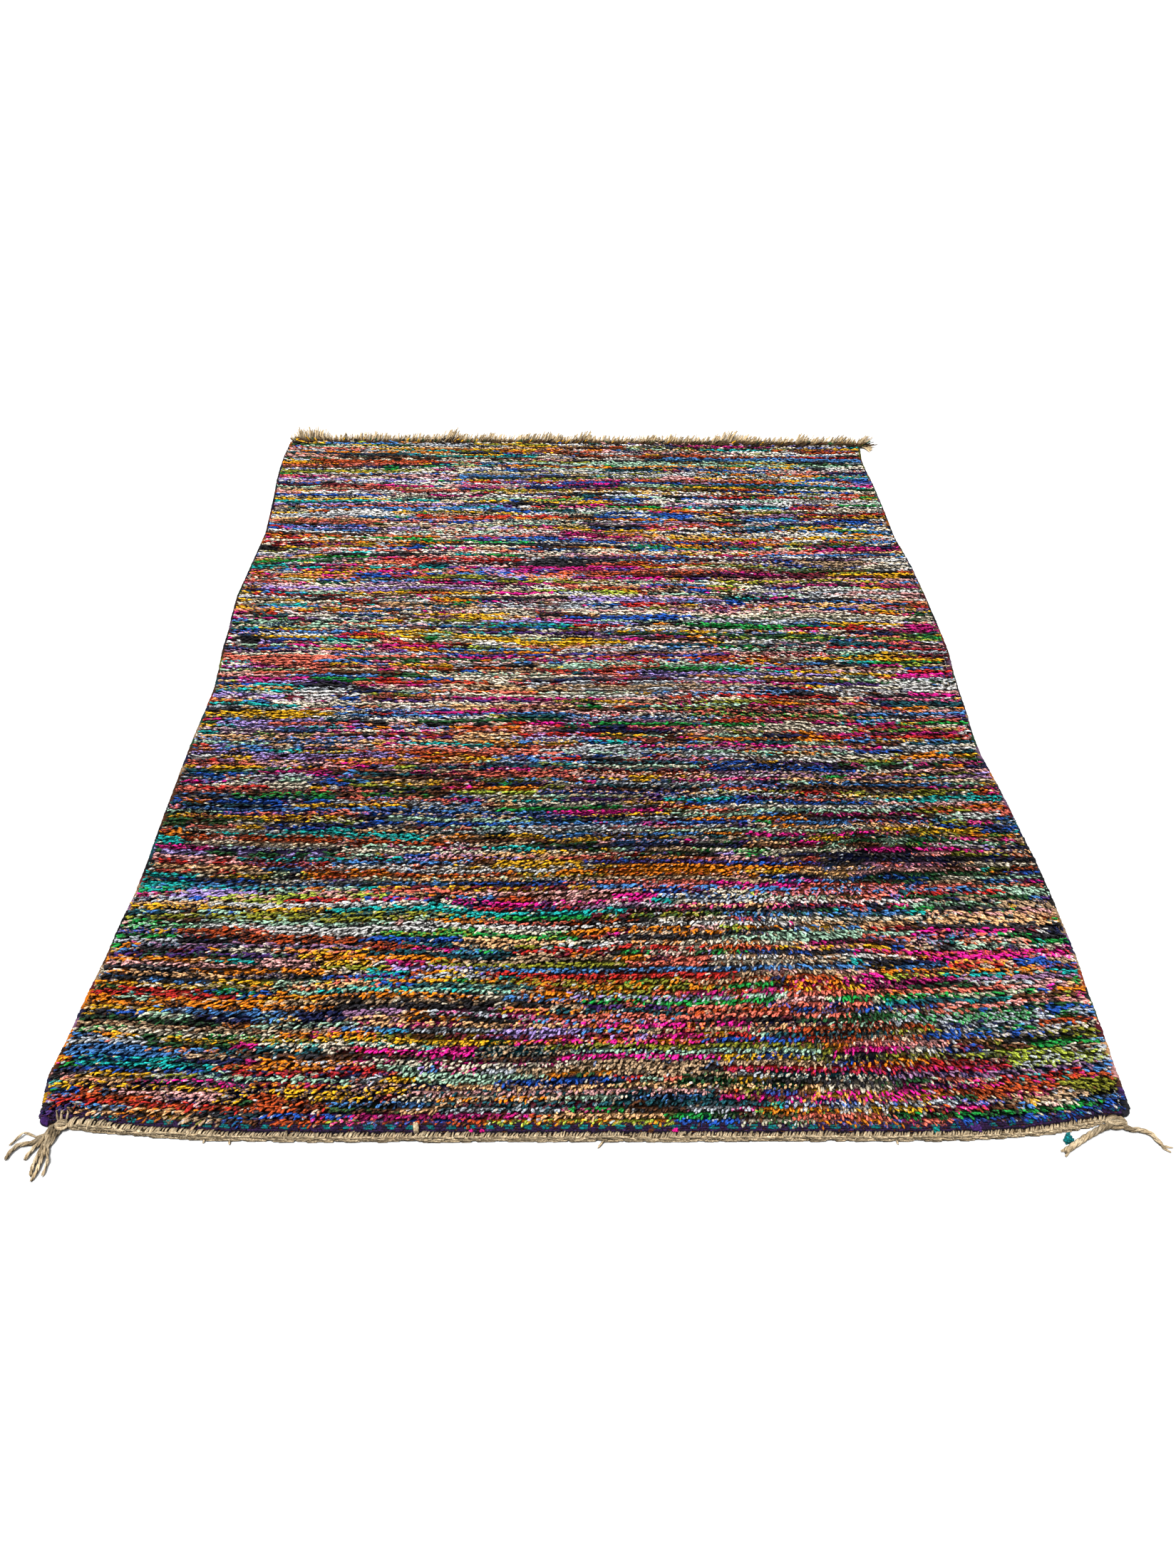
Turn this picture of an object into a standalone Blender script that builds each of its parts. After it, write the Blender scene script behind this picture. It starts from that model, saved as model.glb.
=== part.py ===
"""A hand-knotted scrap-wool rug that lies flat on a floor.

The woven body carries the pile and a thin flat-woven heading at each end. Overcast selvedges bind
its long sides, an ecru roll of twined warp ends closes the front, and cut warp ends make a fringe
along the back. Knotted tassels hang from the two front corners.

Metres, +Z up. The origin is the middle of the underside, +X runs across the width and +Y runs from
the front roll to the back fringe.
"""

import math
import random

import bmesh
import bpy
from mathutils import Vector

# Driving dimensions of the whole rug.
WIDTH = 2.00
LENGTH = 3.00
GAP = 0.0003
MM = 0.001

# The woven body.
PILE_HEIGHT = 0.018
SIDE_HEIGHT = 0.013
HEADING_HEIGHT = 0.007
FRONT_HEADING = 0.013
BACK_HEADING = 0.006
PILE_SHOULDER = 0.006
CELLS_ACROSS = 26
CELLS_ALONG = 30
DIP = 0.0011
DIP_ACROSS = 0.46
DIP_ALONG = 0.31
DIP_SKEW = 0.25

# The bindings: an overcast cord along each side and the ecru roll along the front.
SELVEDGE_WIDTH = 0.018
SELVEDGE_HEIGHT = 0.013
ROLL_WIDTH = 0.014
ROLL_HEIGHT = 0.012
ROLL_FROM = -0.945
ROLL_TO = 0.9225
BINDING_ARC_POINTS = 8
BINDING_FOOT = 0.72
BINDING_SHOULDER = 0.22

# The fringe.
FRINGE_THICKNESS = 0.006
FRINGE_HEADER = 0.010
TOOTH_PITCH = 0.027
TOOTH_ROOT = 0.019
TOOTH_TIP = 0.008
TOOTH_SHORTEST = 0.062
TOOTH_LONGEST = 0.092
TOOTH_LEAN = 0.012
TOOTH_LEAN_SPREAD = 0.005
LONG_TOOTH_REACH = 0.5 * TOOTH_PITCH
FRINGE_SEED = 7

# The corner tassels.
STRAND_RADIUS = 0.0042
STRAND_TIP_RADIUS = 0.0026
STRAND_LIFT = 0.0002
BUNDLE_ROOT_RADIUS = 0.0064
BUNDLE_RADIUS = 0.0075
BUNDLE_SPREAD = 0.005
BUNDLE_END = 1.1
STRANDS_LEAVE_AT = 0.7
TAIL_RADIUS = 0.0055
TAIL_TIP_RADIUS = 0.0042
KNOT_SEGMENTS = 14
KNOT_RINGS = 9

# How far each side bows out of the straight, in millimetres, from the front end to the back end.
SIDE_BOW = (
    # y, left, right
    (-1.50, 2, -20),
    (-1.46, 12, -13),
    (-1.40, 18, -14),
    (-1.25, 7, -6),
    (-1.05, -5, 4),
    (-0.85, -16, 6),
    (-0.60, -13, -4),
    (-0.35, -13, -19),
    (-0.10, -19, -5),
    (0.15, 0, 14),
    (0.40, 15, 15),
    (0.60, 9, 12),
    (0.80, 3, -2),
    (1.00, 17, 2),
    (1.20, 34, 2),
    (1.35, 42, -4),
    (1.50, 38, 11),
)

# How far the front edge draws back towards its corners, in millimetres.
FRONT_DRAW = (
    # x, back
    (-1.02, 26),
    (-0.99, 22),
    (-0.95, 33),
    (-0.86, 22),
    (-0.76, 10),
    (-0.66, 4),
    (-0.45, 1),
    (0.20, 0),
    (0.60, -1),
    (0.74, 3),
    (0.82, 13),
    (0.88, 24),
    (0.93, 36),
    (1.02, 36),
)

# Warp ends of the fringe that were cut long, or were pushed over: length and lean in metres.
LONG_ENDS = (
    # x, length, lean
    (-1.000, 0.118, 0.004),
    (-0.972, 0.128, 0.012),
    (-0.946, 0.112, 0.010),
    (-0.506, 0.134, 0.026),
    (-0.155, 0.104, 0.018),
    (-0.020, 0.110, 0.020),
    (0.490, 0.128, 0.022),
    (0.780, 0.102, 0.016),
    (0.985, 0.112, 0.044),
)

# Strands of the left tassel: where each one ends.
LEFT_TIPS = (
    # x, y
    (-1.043, -1.507),
    (-1.037, -1.538),
    (-1.003, -1.541),
    (-0.988, -1.568),
    (-0.975, -1.583),
    (-0.957, -1.571),
)
LEFT_KNOT = (-0.9579, -1.4648)
LEFT_SPLIT = (-0.980, -1.503)
LEFT_KNOT_SIZE = (0.022, 0.016, 0.014)

# The right tassel: its knot, and the route of its two tails along the floor.
RIGHT_KNOT = (0.9413, -1.4621)
RIGHT_KNOT_SIZE = (0.032, 0.024, 0.016)
RIGHT_TAILS = (
    ((0.940, -1.468), (0.922, -1.489), (0.898, -1.507), (0.862, -1.522), (0.826, -1.535)),
    ((0.948, -1.466), (0.976, -1.482), (1.006, -1.494), (1.016, -1.510), (1.034, -1.520)),
)

ECRU = (0.66, 0.57, 0.42)
PILE_MIX = (0.27, 0.20, 0.20)
SELVEDGE_MIX = (0.12, 0.10, 0.11)
WOOL_ROUGHNESS = 0.95


def clear_scene():
    for obj in list(bpy.data.objects):
        bpy.data.objects.remove(obj, do_unlink=True)


def make_collection(name, hidden=False):
    made = bpy.data.collections.new(name)
    bpy.context.scene.collection.children.link(made)
    made.hide_render = hidden
    return made


def wool(name, colour):
    made = bpy.data.materials.new(name)
    made.use_nodes = True
    shader = made.node_tree.nodes["Principled BSDF"]
    shader.inputs["Base Color"].default_value = (*colour, 1.0)
    shader.inputs["Roughness"].default_value = WOOL_ROUGHNESS
    shader.inputs["Metallic"].default_value = 0.0
    return made


def between(rows, at, column):
    """The smooth value of a table's column at a place along its first column."""
    if at <= rows[0][0]:
        return rows[0][column]
    for low, high in zip(rows, rows[1:]):
        if at <= high[0]:
            share = (at - low[0]) / (high[0] - low[0])
            eased = (1 - math.cos(math.pi * share)) / 2
            return low[column] + eased * (high[column] - low[column])
    return rows[-1][column]


def side_x(y, side):
    """The outer edge of a selvedge. side is -1 on the left and 1 on the right."""
    column = 1 if side < 0 else 2
    return side * (WIDTH / 2 + MM * between(SIDE_BOW, y, column))


def front_y(x):
    """The front face of the ecru roll."""
    return -LENGTH / 2 + MM * between(FRONT_DRAW, x, 1)


def add(obj, material, collection):
    obj.data.materials.append(material)
    collection.objects.link(obj)
    return obj


def body_stations():
    """Shares across the width and along the length at which the body's surface has a vertex."""
    left, right = body_side(-LENGTH / 2, -1), body_side(-LENGTH / 2, 1)
    edge = PILE_SHOULDER / (right - left)
    first, last = (ROLL_FROM - left) / (right - left), (ROLL_TO - left) / (right - left)
    across = [0.0, edge]
    across += [first + (last - first) * i / CELLS_ACROSS for i in range(CELLS_ACROSS + 1)]
    across += [1 - edge, 1.0]
    front = FRONT_HEADING / LENGTH
    back = 1 - BACK_HEADING / LENGTH
    rise = PILE_SHOULDER / 2 / LENGTH
    along = [0.0, front, front + rise]
    first, last = front + rise, back - rise
    along += [first + (last - first) * j / CELLS_ALONG for j in range(1, CELLS_ALONG)]
    along += [last, back, 1.0]
    return across, along


def body_side(y, side):
    """The woven body's own edge, which the selvedge binds."""
    return side_x(y, side) - side * (SELVEDGE_WIDTH + GAP)


def on_body(u, v):
    """The place in plan of a point u of the way across the body and v of the way along it."""
    y_straight = -LENGTH / 2 + LENGTH * v
    left, right = body_side(y_straight, -1), body_side(y_straight, 1)
    x = left + (right - left) * u
    front = front_y(x) + ROLL_WIDTH + GAP
    return Vector((x, front + (LENGTH / 2 - front) * v))


def body_height(at_side, at_end, place):
    """The top of the body: thin headings at both ends, a shoulder at the sides and soft dips."""
    if at_end:
        return HEADING_HEIGHT
    if at_side:
        return SIDE_HEIGHT
    across = math.sin(math.tau * (place.x / DIP_ACROSS + DIP_SKEW * place.y))
    along = math.sin(math.tau * (place.y / DIP_ALONG - DIP_SKEW * place.x))
    return PILE_HEIGHT + DIP * (across + along) / 2


def rug_body(material, collection):
    """The woven piece: a grid shaped to the outline, with walls down to a flat underside."""
    across, along = body_stations()
    mesh = bmesh.new()
    rows = []
    for j, v in enumerate(along):
        at_end = j < 2 or j > len(along) - 3
        row = []
        for u in across:
            place = on_body(u, v)
            height = body_height(u in (0.0, 1.0), at_end, place)
            row.append(mesh.verts.new((*place, height)))
        rows.append(row)
    for near, far in zip(rows, rows[1:]):
        for a, b, c, d in zip(near, near[1:], far[1:], far):
            mesh.faces.new((a, b, c, d))
    rim = [edge for edge in mesh.edges if edge.is_boundary]
    walls = bmesh.ops.extrude_edge_only(mesh, edges=rim)["geom"]
    for item in walls:
        if isinstance(item, bmesh.types.BMVert):
            item.co.z = 0.0
    foot = [item for item in walls if isinstance(item, bmesh.types.BMEdge) and item.is_boundary]
    bmesh.ops.edgeloop_fill(mesh, edges=foot)
    bmesh.ops.recalc_face_normals(mesh, faces=mesh.faces)
    data = bpy.data.meshes.new("rug_body")
    mesh.to_mesh(data)
    mesh.free()
    return add(bpy.data.objects.new("rug_body", data), material, collection)


def binding_profile(name, width, height, guides):
    """The section of a binding: a rounded back on a narrower flat foot, centred across its width."""
    curve = bpy.data.curves.new(name, "CURVE")
    curve.dimensions = "2D"
    spline = curve.splines.new("POLY")
    count = BINDING_ARC_POINTS
    foot = width / 2 * BINDING_FOOT
    reach = width / 2 / math.cos(math.pi / count / 2)
    shoulder = height * BINDING_SHOULDER
    points = [(-foot, 0.0), (foot, 0.0)]
    for k in range(count):
        angle = math.pi * (k + 0.5) / count
        points.append((reach * math.cos(angle), shoulder + (height - shoulder) * math.sin(angle)))
    spline.points.add(len(points) - 1)
    for point, (x, y) in zip(spline.points, reversed(points)):
        point.co = (x, y, 0.0, 1.0)
    spline.use_cyclic_u = True
    obj = bpy.data.objects.new(name, curve)
    obj.hide_render = True
    obj.display_type = "WIRE"
    guides.objects.link(obj)
    return obj


def binding(name, route, profile, material, collection):
    """A cord of one section that follows a route along an edge of the rug."""
    curve = bpy.data.curves.new(name, "CURVE")
    curve.dimensions = "3D"
    curve.twist_mode = "Z_UP"
    curve.bevel_mode = "OBJECT"
    curve.bevel_object = profile
    curve.use_fill_caps = True
    spline = curve.splines.new("POLY")
    spline.points.add(len(route) - 1)
    for point, (x, y) in zip(spline.points, route):
        point.co = (x, y, 0.0, 1.0)
    return add(bpy.data.objects.new(name, curve), material, collection)


def beside(points, distance):
    """The line that runs parallel to the points, at this distance to their right."""
    ways = [(b - a).normalized() for a, b in zip(points, points[1:])]
    rights = [Vector((way.y, -way.x)) for way in ways]
    moved = []
    for point, before, after in zip(points, rights[:1] + rights, rights + rights[-1:]):
        moved.append(point + (before + after) * distance / (1 + before.dot(after)))
    return moved


def selvedge_route(side):
    """The middle line of a side binding, with a point beside each row of the body's vertices."""
    edge = [on_body(0.0 if side < 0 else 1.0, v) for v in body_stations()[1]]
    return beside(edge, side * (SELVEDGE_WIDTH / 2 + GAP))


def roll_route():
    """The middle line of the front roll, in front of the body's edge between its two ends."""
    edge = [on_body(u, 0.0) for u in body_stations()[0][2:-2]]
    return beside(edge, ROLL_WIDTH / 2 + GAP)


def tooth_shape(x, random_source):
    """The length and lean of the warp end at x."""
    length = random_source.uniform(TOOTH_SHORTEST, TOOTH_LONGEST)
    lean = TOOTH_LEAN + random_source.uniform(-TOOTH_LEAN_SPREAD, TOOTH_LEAN_SPREAD)
    for long_x, long_length, long_lean in LONG_ENDS:
        if abs(x - long_x) < LONG_TOOTH_REACH:
            return long_length, long_lean
    return length, lean


def back_fringe(material, collection):
    """One comb: a header along the back edge and a tapering tooth for each bundle of warp ends."""
    random_source = random.Random(FRINGE_SEED)
    left = side_x(LENGTH / 2, -1) + SELVEDGE_WIDTH / 2
    right = side_x(LENGTH / 2, 1) - SELVEDGE_WIDTH / 2
    root = LENGTH / 2 + GAP
    shoulder = root + FRINGE_HEADER
    outline = [(right, root), (left, root)]
    count = int((right - left) / TOOTH_PITCH)
    pitch = (right - left) / count
    for k in range(count):
        middle = left + pitch * (k + 0.5)
        length, lean = tooth_shape(middle, random_source)
        tip = middle + lean
        outline.append((middle - TOOTH_ROOT / 2, shoulder))
        outline.append((tip - TOOTH_TIP / 2, root + length))
        outline.append((tip + TOOTH_TIP / 2, root + length - TOOTH_TIP / 2))
        outline.append((middle + TOOTH_ROOT / 2, shoulder))
    curve = bpy.data.curves.new("back_fringe", "CURVE")
    curve.dimensions = "2D"
    curve.fill_mode = "BOTH"
    curve.extrude = FRINGE_THICKNESS / 2
    spline = curve.splines.new("POLY")
    spline.points.add(len(outline) - 1)
    for point, (x, y) in zip(spline.points, outline):
        point.co = (x, y, 0.0, 1.0)
    spline.use_cyclic_u = True
    obj = bpy.data.objects.new("back_fringe", curve)
    obj.location.z = FRINGE_THICKNESS / 2
    return add(obj, material, collection)


def as_mesh(obj):
    """A mesh object with a curve's evaluated shape, its caps welded. The curve is removed."""
    bpy.context.view_layer.update()
    graph = bpy.context.evaluated_depsgraph_get()
    data = bpy.data.meshes.new_from_object(obj.evaluated_get(graph))
    welded = bmesh.new()
    welded.from_mesh(data)
    bmesh.ops.remove_doubles(welded, verts=welded.verts, dist=1e-6)
    bmesh.ops.recalc_face_normals(welded, faces=welded.faces)
    welded.to_mesh(data)
    welded.free()
    made = bpy.data.objects.new(obj.name + "_mesh", data)
    made.matrix_world = obj.matrix_world
    bpy.data.objects.remove(obj)
    return made


def strand(name, points, radii, lift, guides):
    """A bundle of yarn of these radii that lies this little above the floor."""
    curve = bpy.data.curves.new(name, "CURVE")
    curve.dimensions = "3D"
    curve.bevel_depth = 1.0
    curve.bevel_resolution = 2
    curve.use_fill_caps = True
    spline = curve.splines.new("POLY")
    spline.points.add(len(points) - 1)
    for point, (x, y), radius in zip(spline.points, points, radii):
        point.co = (x, y, radius + lift, 1.0)
        point.radius = radius
    obj = bpy.data.objects.new(name, curve)
    guides.objects.link(obj)
    made = as_mesh(obj)
    made.hide_render = True
    made.display_type = "WIRE"
    guides.objects.link(made)
    return made


def knot(name, centre, size, material, collection):
    """A flattened ball that stands on the floor."""
    ball = bmesh.new()
    bmesh.ops.create_uvsphere(ball, u_segments=KNOT_SEGMENTS, v_segments=KNOT_RINGS, radius=0.5)
    bmesh.ops.scale(ball, verts=ball.verts, vec=Vector(size))
    data = bpy.data.meshes.new(name)
    ball.to_mesh(data)
    ball.free()
    obj = bpy.data.objects.new(name, data)
    obj.location = (*centre, size[2] / 2)
    return add(obj, material, collection)


def join_to(obj, pieces):
    """Unites the pieces with obj, which becomes one body."""
    for piece in pieces:
        union = obj.modifiers.new(piece.name, "BOOLEAN")
        union.operation = "UNION"
        union.solver = "EXACT"
        union.object = piece


def tapered(count, thick, thin):
    """Radii that fall evenly from thick to thin."""
    return [thick + (thin - thick) * k / (count - 1) for k in range(count)]


def left_tassel(material, collection, guides):
    """A bundle that leaves its knot at the left corner and splays into strands."""
    obj = knot("tassel_left", LEFT_KNOT, LEFT_KNOT_SIZE, material, collection)
    start, split = Vector(LEFT_KNOT), Vector(LEFT_SPLIT)
    across = (split - start).orthogonal().normalized()
    bundle = (start, start.lerp(split, BUNDLE_END))
    pieces = [strand("left_bundle", bundle, (BUNDLE_ROOT_RADIUS, BUNDLE_RADIUS), 0.0, guides)]
    for k, tip in enumerate(LEFT_TIPS):
        aside = across * BUNDLE_SPREAD * (1 - 2 * k / (len(LEFT_TIPS) - 1))
        root = start.lerp(split, STRANDS_LEAVE_AT) + aside
        bend = split.lerp(Vector(tip), 0.5) + aside
        route = (root, bend, Vector(tip))
        radii = tapered(len(route), STRAND_RADIUS, STRAND_TIP_RADIUS)
        pieces.append(strand(f"left_strand_{k}", route, radii, STRAND_LIFT * (k + 1), guides))
    join_to(obj, pieces)
    return obj


def right_tassel(material, collection, guides):
    """A knot at the right corner with one tail along the front edge and one away from the rug."""
    obj = knot("tassel_right", RIGHT_KNOT, RIGHT_KNOT_SIZE, material, collection)
    pieces = []
    for k, route in enumerate(RIGHT_TAILS):
        radii = tapered(len(route), TAIL_RADIUS, TAIL_TIP_RADIUS)
        pieces.append(strand(f"right_tail_{k}", route, radii, STRAND_LIFT * k, guides))
    join_to(obj, pieces)
    return obj


def build():
    clear_scene()
    rug = make_collection("azilal_rug")
    guides = make_collection("guides", hidden=True)
    pile = wool("pile", PILE_MIX)
    selvedge = wool("selvedge", SELVEDGE_MIX)
    ecru = wool("ecru_yarn", ECRU)
    rug_body(pile, rug)
    side_profile = binding_profile("selvedge_profile", SELVEDGE_WIDTH, SELVEDGE_HEIGHT, guides)
    binding("selvedge_left", selvedge_route(-1), side_profile, selvedge, rug)
    binding("selvedge_right", selvedge_route(1), side_profile, selvedge, rug)
    roll_profile = binding_profile("roll_profile", ROLL_WIDTH, ROLL_HEIGHT, guides)
    binding("front_roll", roll_route(), roll_profile, ecru, rug)
    back_fringe(ecru, rug)
    left_tassel(ecru, rug, guides)
    right_tassel(ecru, rug, guides)


build()
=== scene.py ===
"""Looks of a hand-knotted scrap-wool rug that lies flat on a pale floor.

Every yarn end of the pile, wrap of the selvedges, loop of the front roll and strand of the fringe
is a small closed tube, made in bulk by one function. Each kind is joined into a few pieces.
"""

import math

import bpy
import numpy as np
from mathutils import Matrix, Vector


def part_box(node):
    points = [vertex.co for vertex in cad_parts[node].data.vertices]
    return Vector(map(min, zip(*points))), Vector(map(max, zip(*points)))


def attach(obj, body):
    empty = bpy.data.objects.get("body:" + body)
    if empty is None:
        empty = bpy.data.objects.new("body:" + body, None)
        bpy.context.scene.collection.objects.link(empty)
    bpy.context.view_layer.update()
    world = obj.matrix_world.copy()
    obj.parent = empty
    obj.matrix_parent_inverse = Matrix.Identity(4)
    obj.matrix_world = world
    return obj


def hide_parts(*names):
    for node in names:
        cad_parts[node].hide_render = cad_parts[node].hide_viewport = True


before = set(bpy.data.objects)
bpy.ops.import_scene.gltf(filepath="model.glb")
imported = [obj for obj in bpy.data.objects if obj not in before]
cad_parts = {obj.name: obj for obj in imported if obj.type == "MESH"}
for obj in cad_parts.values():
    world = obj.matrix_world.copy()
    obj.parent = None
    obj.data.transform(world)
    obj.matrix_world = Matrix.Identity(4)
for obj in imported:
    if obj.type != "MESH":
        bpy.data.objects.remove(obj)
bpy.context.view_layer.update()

# Scrap wool by name: its colour, and how often it turns up at the front, middle and back.
YARNS = (
    # name, colour, front, middle, back
    ("black", "0F0E12", 12, 15, 27),
    ("charcoal", "2C2B32", 9, 9, 11),
    ("navy", "101B4C", 7, 8, 10),
    ("cobalt", "124FB0", 7, 6, 9),
    ("denim", "4480C4", 7, 9, 10),
    ("turquoise", "06AAA4", 4, 4, 5),
    ("dark_teal", "0A4E58", 6, 5, 7),
    ("sage", "A4CCAE", 4, 6, 6),
    ("kelly_green", "10963A", 5, 3, 3),
    ("forest_green", "1E5428", 5, 5, 4),
    ("olive", "8A8A20", 6, 4, 7),
    ("lime", "A8B838", 1.2, 1.2, 2),
    ("mustard", "EAAC12", 9, 8, 12),
    ("amber", "F08408", 9, 5, 3),
    ("rust", "BC4814", 9, 5, 3),
    ("coral", "EE705A", 7, 8, 3),
    ("red", "C8241C", 5, 7, 2.5),
    ("burgundy", "701428", 5, 6, 2),
    ("hot_pink", "F81294", 5, 5, 2),
    ("magenta", "BE1272", 2, 7, 3),
    ("dusty_pink", "E8A4A0", 5, 9, 6),
    ("mauve", "9C7096", 1, 3, 1),
    ("lilac", "AC92DC", 1, 3, 0.6),
    ("purple", "4A2670", 1, 2, 0.5),
    ("cream", "F2E2C6", 9, 13, 17),
    ("white", "EFECE8", 3, 8, 14),
    ("silver", "B4BAC2", 5, 5, 5),
    ("taupe", "BC9A76", 6, 4, 3),
    ("brown", "5E3418", 6, 5, 3),
    ("tan", "F0B47C", 5, 4, 3),
)

# Where the weaver used more of some yarns: a place, how far it reaches, and how much likelier they are.
TINTS = (
    # x, y, reach across, reach along, times, yarns
    (-0.21, -1.28, 0.30, 0.05, 6, ("hot_pink",)),
    (0.72, -1.41, 0.28, 0.05, 5, ("hot_pink", "magenta")),
    (-0.85, -1.32, 0.22, 0.06, 2.5, ("navy", "cobalt", "dark_teal")),
    (0.87, -1.24, 0.25, 0.09, 3, ("olive", "kelly_green", "silver", "tan")),
    (0.11, -1.12, 0.35, 0.12, 4, ("amber", "rust", "coral")),
    (-0.63, -1.15, 0.30, 0.10, 4, ("amber", "mustard", "taupe")),
    (-0.18, -0.92, 0.30, 0.10, 4, ("olive", "forest_green", "kelly_green", "sage")),
    (0.07, -0.97, 0.30, 0.07, 3, ("burgundy", "rust", "magenta")),
    (0.75, -0.91, 0.30, 0.12, 3, ("navy", "forest_green", "charcoal", "denim")),
    (-0.95, -0.79, 0.16, 0.06, 5, ("turquoise", "cobalt")),
    (-0.22, -0.60, 0.25, 0.07, 4, ("cobalt", "denim", "navy")),
    (0.60, -0.54, 0.30, 0.08, 3, ("dark_teal", "turquoise", "charcoal")),
    (-0.84, -0.42, 0.25, 0.12, 4, ("purple", "lilac", "mauve")),
    (-0.45, -0.33, 0.35, 0.05, 4, ("tan", "rust", "amber")),
    (0.79, -0.22, 0.30, 0.07, 5, ("red", "rust", "coral")),
    (-0.76, -0.05, 0.30, 0.20, 3, ("magenta", "mauve", "lilac", "coral")),
    (0.28, 0.02, 0.20, 0.08, 4, ("purple", "lilac")),
    (0.15, 0.51, 0.30, 0.06, 4, ("rust", "coral")),
    (-0.60, 0.57, 0.35, 0.09, 3, ("red", "coral", "hot_pink", "amber")),
    (-0.41, 1.23, 0.25, 0.06, 4, ("navy", "black", "cobalt")),
    (0.72, 1.00, 0.40, 0.30, 2, ("white", "silver", "denim", "charcoal")),
)

# The pile: rows of knots. Each knot has three cut ends that lie over one another, from the lowest up.
PILE_LAYERS = (
    # aside in pitches, length, radius, rise in degrees, height of the root, share in the second yarn,
    # whether ends near the front have two rings, share of the ends made beyond them
    (-0.33, 0.0215, 0.0034, 8, 0.0088, 0.05, False, 0.5),
    (0.04, 0.0190, 0.0031, 17, 0.0084, 0.26, True, 1.0),
    (0.36, 0.0168, 0.0027, 28, 0.0078, 0.40, True, 1.0),
)
LAYER_PIECES = 2
ROW_PITCH = 0.0138
END_PITCH = 0.0108
PILE_STARTS = 1.9  # rows from the front edge
PILE_STOPS = 0.3  # rows from the back edge
ROW_ENDS = (0.001, 0.999)
ROOT_SPREAD = 0.34
ROOT_STRAYS = 0.0015
LENGTH_VARIES = 0.15
RADIUS_VARIES = 0.14
FULLNESS = 0.14
OVERHANG = 0.009
HIGHEST = 0.0280
TIP_DROOP = 0.0008
# The near ends, to this share of the way along. Their rings are in shares of an end's length and radius.
NEAR_ZONE = 0.22
NEAR_RINGS = (0.66, 0.74)
NEAR_RINGS_GROW = (1.0, 1.2)
LOWER_RING_AT = 0.42
LOWER_RING_UP = 0.10
UPPER_RING_AT = 0.88
# Ends at the front bunch up most around this place across, and less and less over this reach.
BUNCHED_AT = 0.05
BUNCHED_REACH = (0.25, 0.75)
BUNCHED_SHORTER = 0.16
BUNCHED_THICKER = 0.20
# A pair of values is for the front of the rug, and from SIDEWAYS_FROM of the way along.
SIDEWAYS_FROM = 0.45
WIDEST_AT = (0.78, 0.60)
LENGTH_SHARE = (1.10, 1.30)
RADIUS_SHARE = (0.98, 0.81)
RISE_SHARE = (1.0, 0.62)
RAISED = (0.0, 0.0022)
LAY_SPREAD = (17, 6.8)
LAY_TURNS = (12, 6)
SWAPPED_SHARE = (1.0, 0.5)
UNEVENNESS = (0.34, 0.20)
# The way ends lie: degrees from straight to the front, positive to the right.
LAY_AT_LEFT = -58
LAY_AT_MIDDLE = -38
LAY_AT_RIGHT = 56
LAY_AT_BACK = (62, -84)
LEFT_FROM = 0.1
LEFT_REACH = 0.8
PARTING_AT = 0.50
PARTING_WIDTH = 0.28
PARTING_STEEP = 3
PARTING_WANDERS = 0.22
RISE_WANDERS = 8
RISE_SPREAD = 10
RISE_LIMITS = (3, 60)
# The tone of the ends by place along, as painted light that is dimmer at the front, how pale they may be by
# place, and how they differ.
PAINTED_LIGHT_AT = ((0.0, 0.3, 0.5, 0.75, 1.0), (0.78, 0.84, 1.10, 1.18, 1.10))
PALEST_AT = ((0.0, 0.25, 0.45, 0.6), (0.46, 0.48, 0.7, 1.0))
BRIGHTNESS = (0.21, 0.72, 0.07)
UNEVEN_LIMITS = (0.35, 1.22)
FLECK_UNEVENNESS = 0.45
FLECK_LIMITS = (0.3, 1.6)
# Rows wander: the seed of each smooth field, its cells across and along, and how much it counts.
ROW_WAVE = 0.011
ROW_WAVES = ((1, 7, 26, 1.0), (2, 3, 9, 0.7), (8, 22, 60, 0.5))
CALM_EDGE = 0.1
# The same for the fullness, the height and the turning of the ends, and for where they part.
PILE_FIELDS = ((3, 13, 40), (4, 9, 24), (5, 8, 20), (6, 2, 12))
# The mat under the ends. Its tones are painted shade: the knots' colours are darkened, most in the valleys.
MAT_RIDGE = 0.0105
MAT_VALLEY = 0.0055
MAT_RIM = 0.0062
MAT_RIM_TO = 0.003
MAT_ROUGH = 0.0008
MAT_COLUMNS = 60
MAT_PAINTED_SHADE = 0.28
VALLEY_PAINTED_SHADE = 0.05
# Runs of one or two yarns along a row, and stray ends. A pair of values is for the front and the back.
RUN_MEAN = (0.145, 0.190)
RUN_LEAST = 0.015
RUN_FROM_ROW_BEFORE = (0.08, 0.15)
RUN_OF_TWO = 0.75
RUN_FLECKED = 0.5
SHARE_OF_OTHER = (0.3, 0.55)
ODD_ONES = 0.06
KNOTS_TOGETHER = 3
LAST_ROW_DARK = 0.7
STRAY_SHARE = (0.16, 0.05)
STRAY_YARNS = ("black", "charcoal", "black", "brown", "silver", "cream", "taupe")

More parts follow.
